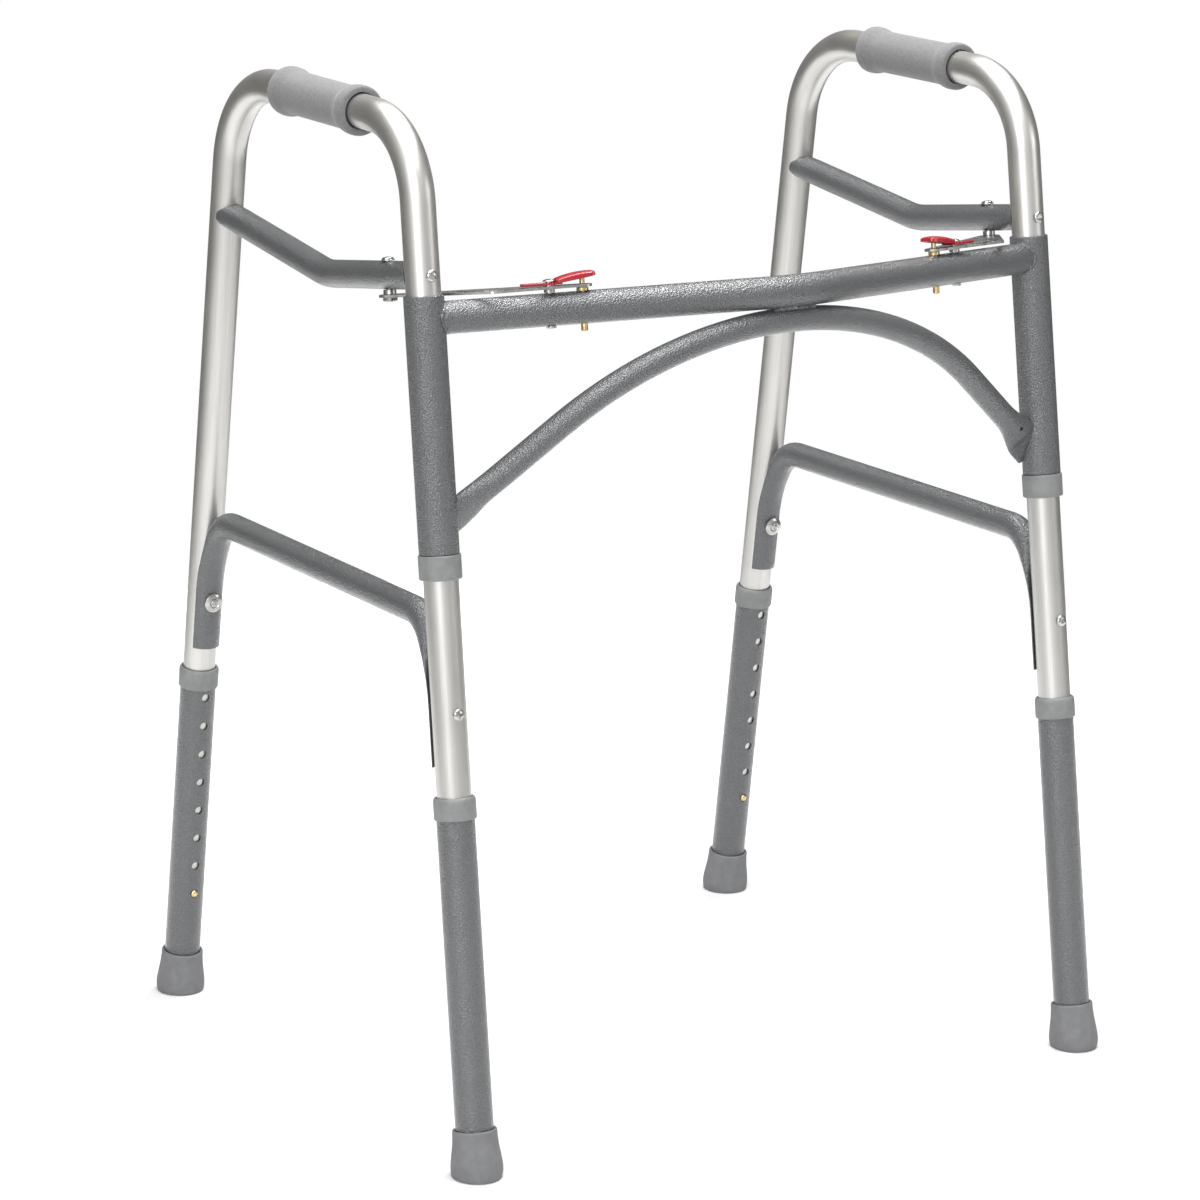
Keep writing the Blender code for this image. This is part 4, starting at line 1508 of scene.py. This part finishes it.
    def arch_brace(self) -> None:
        """Bends the arch, presses its ends into upright fishtails, and welds it on."""
        bend, turn = self.arch_bend, self.arch_turn
        across, drop = bend * math.sin(turn), bend * (1 - math.cos(turn))
        end_drop = drop + (self.arch_reach - across) * math.tan(turn)
        left_end, left_bend = self.arch_point(-self.arch_reach, end_drop), self.arch_point(-across, drop)
        right_end = self.arch_point(self.arch_reach, end_drop)
        heading = (left_bend - left_end).normalized()
        leaving = (right_end - self.arch_point(across, drop)).normalized()
        pipe = Pipe("bent_arch", self.arch, left_end, heading, 48)
        pipe.run((left_bend - left_end).length, 42)
        towards = (leaving - heading * leaving.dot(heading)).normalized()
        pipe.bend(towards, bend, 2 * turn, 40)
        pipe.run((right_end - pipe.place).length, 42)
        across_plane = heading.cross(towards).normalized()
        piece, spine = pipe.done(across_plane)
        total, reach, hidden, lip = spine.lengths[-1], 46 * MM, 13.5 * MM, 11 * MM
        flare_below, flare_above, thinned, lip_thinned = 0.72, 0.46, 0.36, 0.24

        def move(point: Vector) -> Vector:
            """Presses a point near an end thin and tall, and thinner still in the last lip.

            Args:
                point: the point.

            Returns:
                Its new place.
            """
            length, on, outward = spine.locate(point)
            near = min(length, total - length)
            end = min(max(0.0, 1 - (near - hidden) / reach), 1.0)
            press = end * end * (3 - 2 * end)
            step = min(max((hidden + lip - near) / (3 * MM), 0.0), 1.0)
            off = point - on
            rise = off.dot(outward)
            flare = flare_below * press * press if rise * outward.z < 0 else flare_above * press
            thin = off.dot(across_plane) * (1 - thinned * press - lip_thinned * step)
            return on + across_plane * thin + outward * rise * (1 + flare)

        Bench.reshape(piece, move)
        cap_ends(piece)
        for side in Side:
            Bench.cut(piece, self.sleeve_cutter(side, 0.05 * MM))
        length = total - hidden - 21 * MM
        vent = next(spine.points[i] for i, reached in enumerate(spine.lengths) if reached > length)
        Bench.cut(piece, Bench.rod("vent", 1.7 * MM, vent - BACK * 20 * MM, vent))
        Bench.smooth(piece)
        Bench.set_down(piece, STANCE.front())
        dress(piece, PAINT, self.body, "arch_brace")
        self.top_weld()

    def top_weld(self) -> None:
        """Welds the arch's top to the crossbar's underside, front and back."""
        bar = Vector((0, -self.bow, self.bar_level - self.span * math.sin(STANCE.splay)))
        top = self.arch_point(0, 0)
        middle = bar + (top - bar) * self.bar / (self.bar + self.arch)
        half, out, narrowing, sag = 19, 3.2, 0.2, 0.05
        for way, word in ((-1, "front"), (1, "back")):
            points = [middle + Vector((x * MM, way * out * MM - abs(x) * narrowing * MM * way,
                                       -abs(x) * sag * MM)) for x in range(-half, half + 1)]
            bead = self.weld_bead(f"{word}_arch_weld", points, 2.4 * MM, way)
            Bench.set_down(bead, STANCE.front())
            dress(bead, PAINT, self.body)


# Locks


@dataclass
class FoldLock:
    """One side's fold lock: link plate, guide rivet, red release lever and brass pin."""

    side: Side
    front: FrontFrame
    plate_level: float = 676.4 * MM
    plate: float = 2.0 * MM
    lift: float = 0.9 * MM
    strip: float = 2.0 * MM
    tilt: float = math.radians(8)

    def name(self, piece: str) -> str:
        """A piece's name with its side."""
        return f"{self.side.word}_{piece}"

    def over(self, reach: float) -> Matrix:
        """Gives the seat frame moved along the crossbar, at the floor's level."""
        spot = self.front.on_bar(self.side, reach)
        return STANCE.seat(self.side) @ Matrix.Translation((spot.x, spot.y, 0))

    def build(self) -> None:
        """Builds and dresses the lock."""
        keep(self.name("link_plate"), ZINC)
        keep(self.name("pin_spring"), ZINC)
        self.rivet()
        self.lever()
        self.pin()

    def rivet(self) -> None:
        """Turns the guide rivet: low dome, neck, spacer, and the tail under the crossbar."""
        bar_top, bar_low = self.front.bar_level + self.front.bar, self.front.bar_level - self.front.bar
        seat = self.plate_level + self.plate + self.lift + self.strip + 0.9 * MM
        under = self.plate_level - 0.3 * MM
        profile = [(1.6 * MM, seat + 1.75 * MM), (3.0 * MM, seat + 1.5 * MM), (4.2 * MM, seat + 1.0 * MM),
                   (4.95 * MM, seat + 0.4 * MM), (4.95 * MM, seat), (2.5 * MM, seat), (2.5 * MM, under),
                   (4.2 * MM, under), (4.2 * MM, bar_top + 0.3 * MM), (2.5 * MM, bar_top + 0.3 * MM),
                   (2.5 * MM, bar_low - 0.3 * MM), (4.0 * MM, bar_low - 0.3 * MM),
                   (3.7 * MM, bar_low - 1.4 * MM), (2.4 * MM, bar_low - 1.95 * MM)]
        rivet = Bench.turned(self.name("pivot_rivet"), profile, 32)
        Bench.smooth(rivet)
        Bench.set_down(rivet, self.over(self.front.rivet_reach))
        dress(rivet, ZINC, self.front.body, self.name("guide_rivet"))

    def lever(self) -> None:
        """Moulds the release lever: ringed eye, flat tail, sloped arm and rounded thumb button."""
        half = self.strip / 2
        level = self.plate_level + self.plate + self.lift + half
        hole, eye, well = 3.4 * MM, 5.2 * MM, 6.0 * MM
        ring = [(hole, half), (eye, half), (eye, -half), (hole, -half)]
        lever = Bench.turned(self.name("red_lever"), ring, 40, hollow=True)
        tail = Bench.box("tail", (18.4 * MM, 9.6 * MM, self.strip), (-12.9 * MM, 0, 0))
        taper, share = -20 * MM, 0.8

        def narrow(point: Vector) -> Vector:
            """Narrows the tail's far end."""
            return Vector((point.x, point.y * (share if point.x < taper else 1), point.z))

        Bench.reshape(tail, narrow)
        Bench.soften(tail, 0.5 * MM, 3)
        neck = Bench.box("neck", (6 * MM, 9.6 * MM, self.strip), (6.4 * MM, 0, 0.2 * MM))
        slope = math.tan(self.tilt)
        button = self.thumb_button()
        reach, rise = 20.3 * MM, 15 * MM * slope + half - 0.2 * MM
        tilted = Matrix.Translation((reach, 0, rise)) @ Matrix.Rotation(-self.tilt, 4, "Y")
        Bench.set_down(button, tilted)
        for item in (tail, neck, button):
            Bench.cut(lever, item, "UNION")
        Bench.cut(lever, Bench.rod("bore", hole, -UP * 6 * MM, UP * 6 * MM, 32))
        Bench.cut(lever, Bench.rod("well", well, UP * half, UP * 12 * MM, 40))
        Bench.smooth(lever, 40)
        spot = self.front.on_bar(self.side, self.front.rivet_reach)
        along = self.front.along(self.side)
        heading = Matrix.Rotation(math.atan2(along.y, along.x), 4, "Z")
        place = Matrix.Translation((spot.x, spot.y, level)) @ heading
        Bench.set_down(lever, STANCE.seat(self.side) @ place)
        body = self.name("lever")
        dress(lever, RED, body, self.name("release_lever"))
        top = (self.front.pin_reach - self.front.rivet_reach - 5 * MM) * slope - half + 0.6 * MM
        low = -half - self.lift
        profile = [(2.0 * MM, top), (2.0 * MM, low + 0.6 * MM), (1.7 * MM, low + 0.3 * MM)]
        stud = Bench.turned(self.name("brass_stud"), profile, 24)
        Bench.smooth(stud)
        reach = Matrix.Translation((self.front.pin_reach - self.front.rivet_reach, 0, 0))
        Bench.set_down(stud, STANCE.seat(self.side) @ place @ reach)
        dress(stud, BRASS, body, self.name("lever_stud"))

    def thumb_button(self) -> bpy.types.Object:
        """Shapes the button from a block: long rounded plan, crowned top, flat underside.

        Returns:
            The button, with its seat at zero.
        """
        long, wide, high = 32 * MM, 16 * MM, 8.4 * MM
        button = Bench.box("button", (long, wide, high), (0, 0, high / 2 - 4.0 * MM))
        Bench.edit(button)
        bpy.ops.mesh.subdivide(number_cuts=3)
        Bench.clear()
        Bench.modify(button, "SUBSURF", levels=3, render_levels=3)

        def move(point: Vector) -> Vector:
            """Crowns the top, flattens the underside and narrows the ends.

            Args:
                point: the point.

            Returns:
                Its new place.
            """
            share, off = 2 * point.x / long, 2 * point.y / wide
            crown = 1.04 - 0.34 * share * share - 0.3 * off * off
            rise = point.z * crown if point.z > 0 else point.z * 0.24
            return Vector((point.x, point.y * (1 - 0.14 * share * share), rise))

        Bench.reshape(button, move)
        return button

    def pin(self) -> None:
        """Turns the brass lock pin, with its shoulder above the bar and its nose below."""
        low = self.front.bar_level - self.front.bar - 5.5 * MM
        top = self.plate_level - 0.3 * MM
        shoulder, shank = 4.6 * MM, 2.6 * MM
        profile = [(shoulder - 0.5 * MM, top), (shoulder, top - 0.4 * MM), (shoulder, top - 2.8 * MM),
                   (shoulder - 0.4 * MM, top - 3.2 * MM), (shank, top - 3.2 * MM), (shank, low + 0.5 * MM),
                   (shank - 0.5 * MM, low)]
        pin = Bench.turned(self.name("brass_pin"), profile, 32)
        Bench.smooth(pin)
        Bench.set_down(pin, self.over(self.front.pin_reach))
        dress(pin, BRASS, self.name("pin"), self.name("lock_pin"))


# Studio


@dataclass
class Studio:
    """A pale floor, soft light and the camera."""

    eye: tuple[float, float, float] = (-2.1071613, -3.1099115, 1.3353878)
    yaw: float = 0.5895
    pitch: float = 0.253
    roll: float = 0.0233
    lens: float = 140.73

    def build(self) -> None:
        """Sets up the floor, the sky, the lights and the camera."""
        self.floor()
        self.sky()
        lamps = {"key": ((-2.9, -2.3, 1.9), 0.45, 1.5, 66), "spark": ((0.96, 0.4, 3.04), 0.6, 0.6, 42),
                 "fill": ((2.4, -2.6, 1.5), 0.45, 1.2, 16), "top": ((-0.2, -0.2, 3.0), 0, 2.4, 120)}
        for name, (place, height, size, power) in lamps.items():
            self.lamp(name, place, (0, 0, height), size, power)
        self.camera()

    def floor(self) -> None:
        """Lays a pale matt floor, painted darker round its middle as a shade under the frame and lighter
        towards its rim.
        """
        floor = Bench.ring("studio_floor", 1.5, UP * -0.4 * MM, UP, 96, solid=True)
        graph = Graph("floor_finish")
        place = graph.spot.outputs["Object"]
        # Painted shade: the colour is darker within 0.3 m of the middle, under the frame, and lightens to
        # the pale tone by 1 m out.
        middle = graph.add("ShaderNodeVectorMath", {"Vector": place}, operation="LENGTH")
        near, far = (0.66, 0.66, 0.66), (0.9, 0.9, 0.9)
        graph.link(graph.ramp(middle.outputs["Value"], 0.3, 1.0, near, far), "Base Color")
        graph.set(Roughness=0.9, Specular_IOR_Level=0.1)
        floor.data.materials.append(graph.material)

    def sky(self) -> None:
        """Lights the room softly from the front, with darker walls at the sides and back."""
        world = bpy.data.worlds.new("studio")
        world.use_nodes = True
        bpy.context.scene.world = world
        tree = world.node_tree
        back = tree.nodes["Background"]
        spot = tree.nodes.new("ShaderNodeTexCoord")
        facing = tree.nodes.new("ShaderNodeVectorMath")
        facing.operation = "DOT_PRODUCT"
        facing.inputs[1].default_value = Vector((-0.62, -0.74, 0.28)).normalized()
        ramp = tree.nodes.new("ShaderNodeValToRGB")
        tree.links.new(spot.outputs["Generated"], facing.inputs[0])
        tree.links.new(facing.outputs["Value"], ramp.inputs["Fac"])
        ends = ramp.color_ramp.elements
        ends[0].position, ends[0].color = 0.1, (0.20, 0.197, 0.185, 1)
        ends[1].position, ends[1].color = 0.95, (0.82, 0.82, 0.83, 1)
        path = tree.nodes.new("ShaderNodeLightPath")
        mix = tree.nodes.new("ShaderNodeMixRGB")
        mix.inputs["Color2"].default_value = (1, 1, 1, 1)
        tree.links.new(path.outputs["Is Camera Ray"], mix.inputs["Fac"])
        tree.links.new(ramp.outputs["Color"], mix.inputs["Color1"])
        tree.links.new(mix.outputs["Color"], back.inputs["Color"])
        back.inputs["Strength"].default_value = 1.0

    def lamp(self, name: str, place: Sequence[float], aim: Sequence[float], size: float,
             power: float) -> None:
        """Hangs a large soft lamp.

        Args:
            name: the lamp's name.
            place: where it hangs.
            aim: the point that it faces.
            size: the width of its square face.
            power: its power in watts.
        """
        light = bpy.data.lights.new(name, "AREA")
        light.energy, light.size = power, size
        lamp = bpy.data.objects.new(name, light)
        lamp.location = place
        lamp.rotation_euler = (Vector(aim) - Vector(place)).to_track_quat("-Z", "Y").to_euler()
        bpy.context.scene.collection.objects.link(lamp)

    def camera(self) -> None:
        """Sets the camera at the eye, turned by yaw, pitch and roll."""
        cos_yaw, sin_yaw = math.cos(self.yaw), math.sin(self.yaw)
        level, drop = math.cos(self.pitch), math.sin(self.pitch)
        ahead = Vector((sin_yaw * level, cos_yaw * level, -drop))
        right = Vector((cos_yaw, -sin_yaw, 0))
        up = right.cross(ahead)
        side = math.cos(self.roll) * right + math.sin(self.roll) * up
        top = math.cos(self.roll) * up - math.sin(self.roll) * right
        turn = Matrix((side, top, -ahead)).transposed().to_4x4()
        data = bpy.data.cameras.new("camera")
        data.sensor_width, data.lens, data.clip_end = 36, self.lens, 60
        camera = bpy.data.objects.new("camera", data)
        camera.matrix_world = Matrix.Translation(self.eye) @ turn
        bpy.context.scene.collection.objects.link(camera)
        bpy.context.scene.camera = camera


def main() -> None:
    """Builds the walking frame and its studio."""
    logging.basicConfig(level=logging.INFO, format="%(name)s: %(message)s")
    bpy.context.scene.view_settings.view_transform = "Standard"
    for side in Side:
        SideFrame(side).build()
    LegExtension().build()
    front = FrontFrame()
    front.build()
    for side in Side:
        FoldLock(side, front).build()
    Studio().build()


if __name__ == "__main__":
    main()
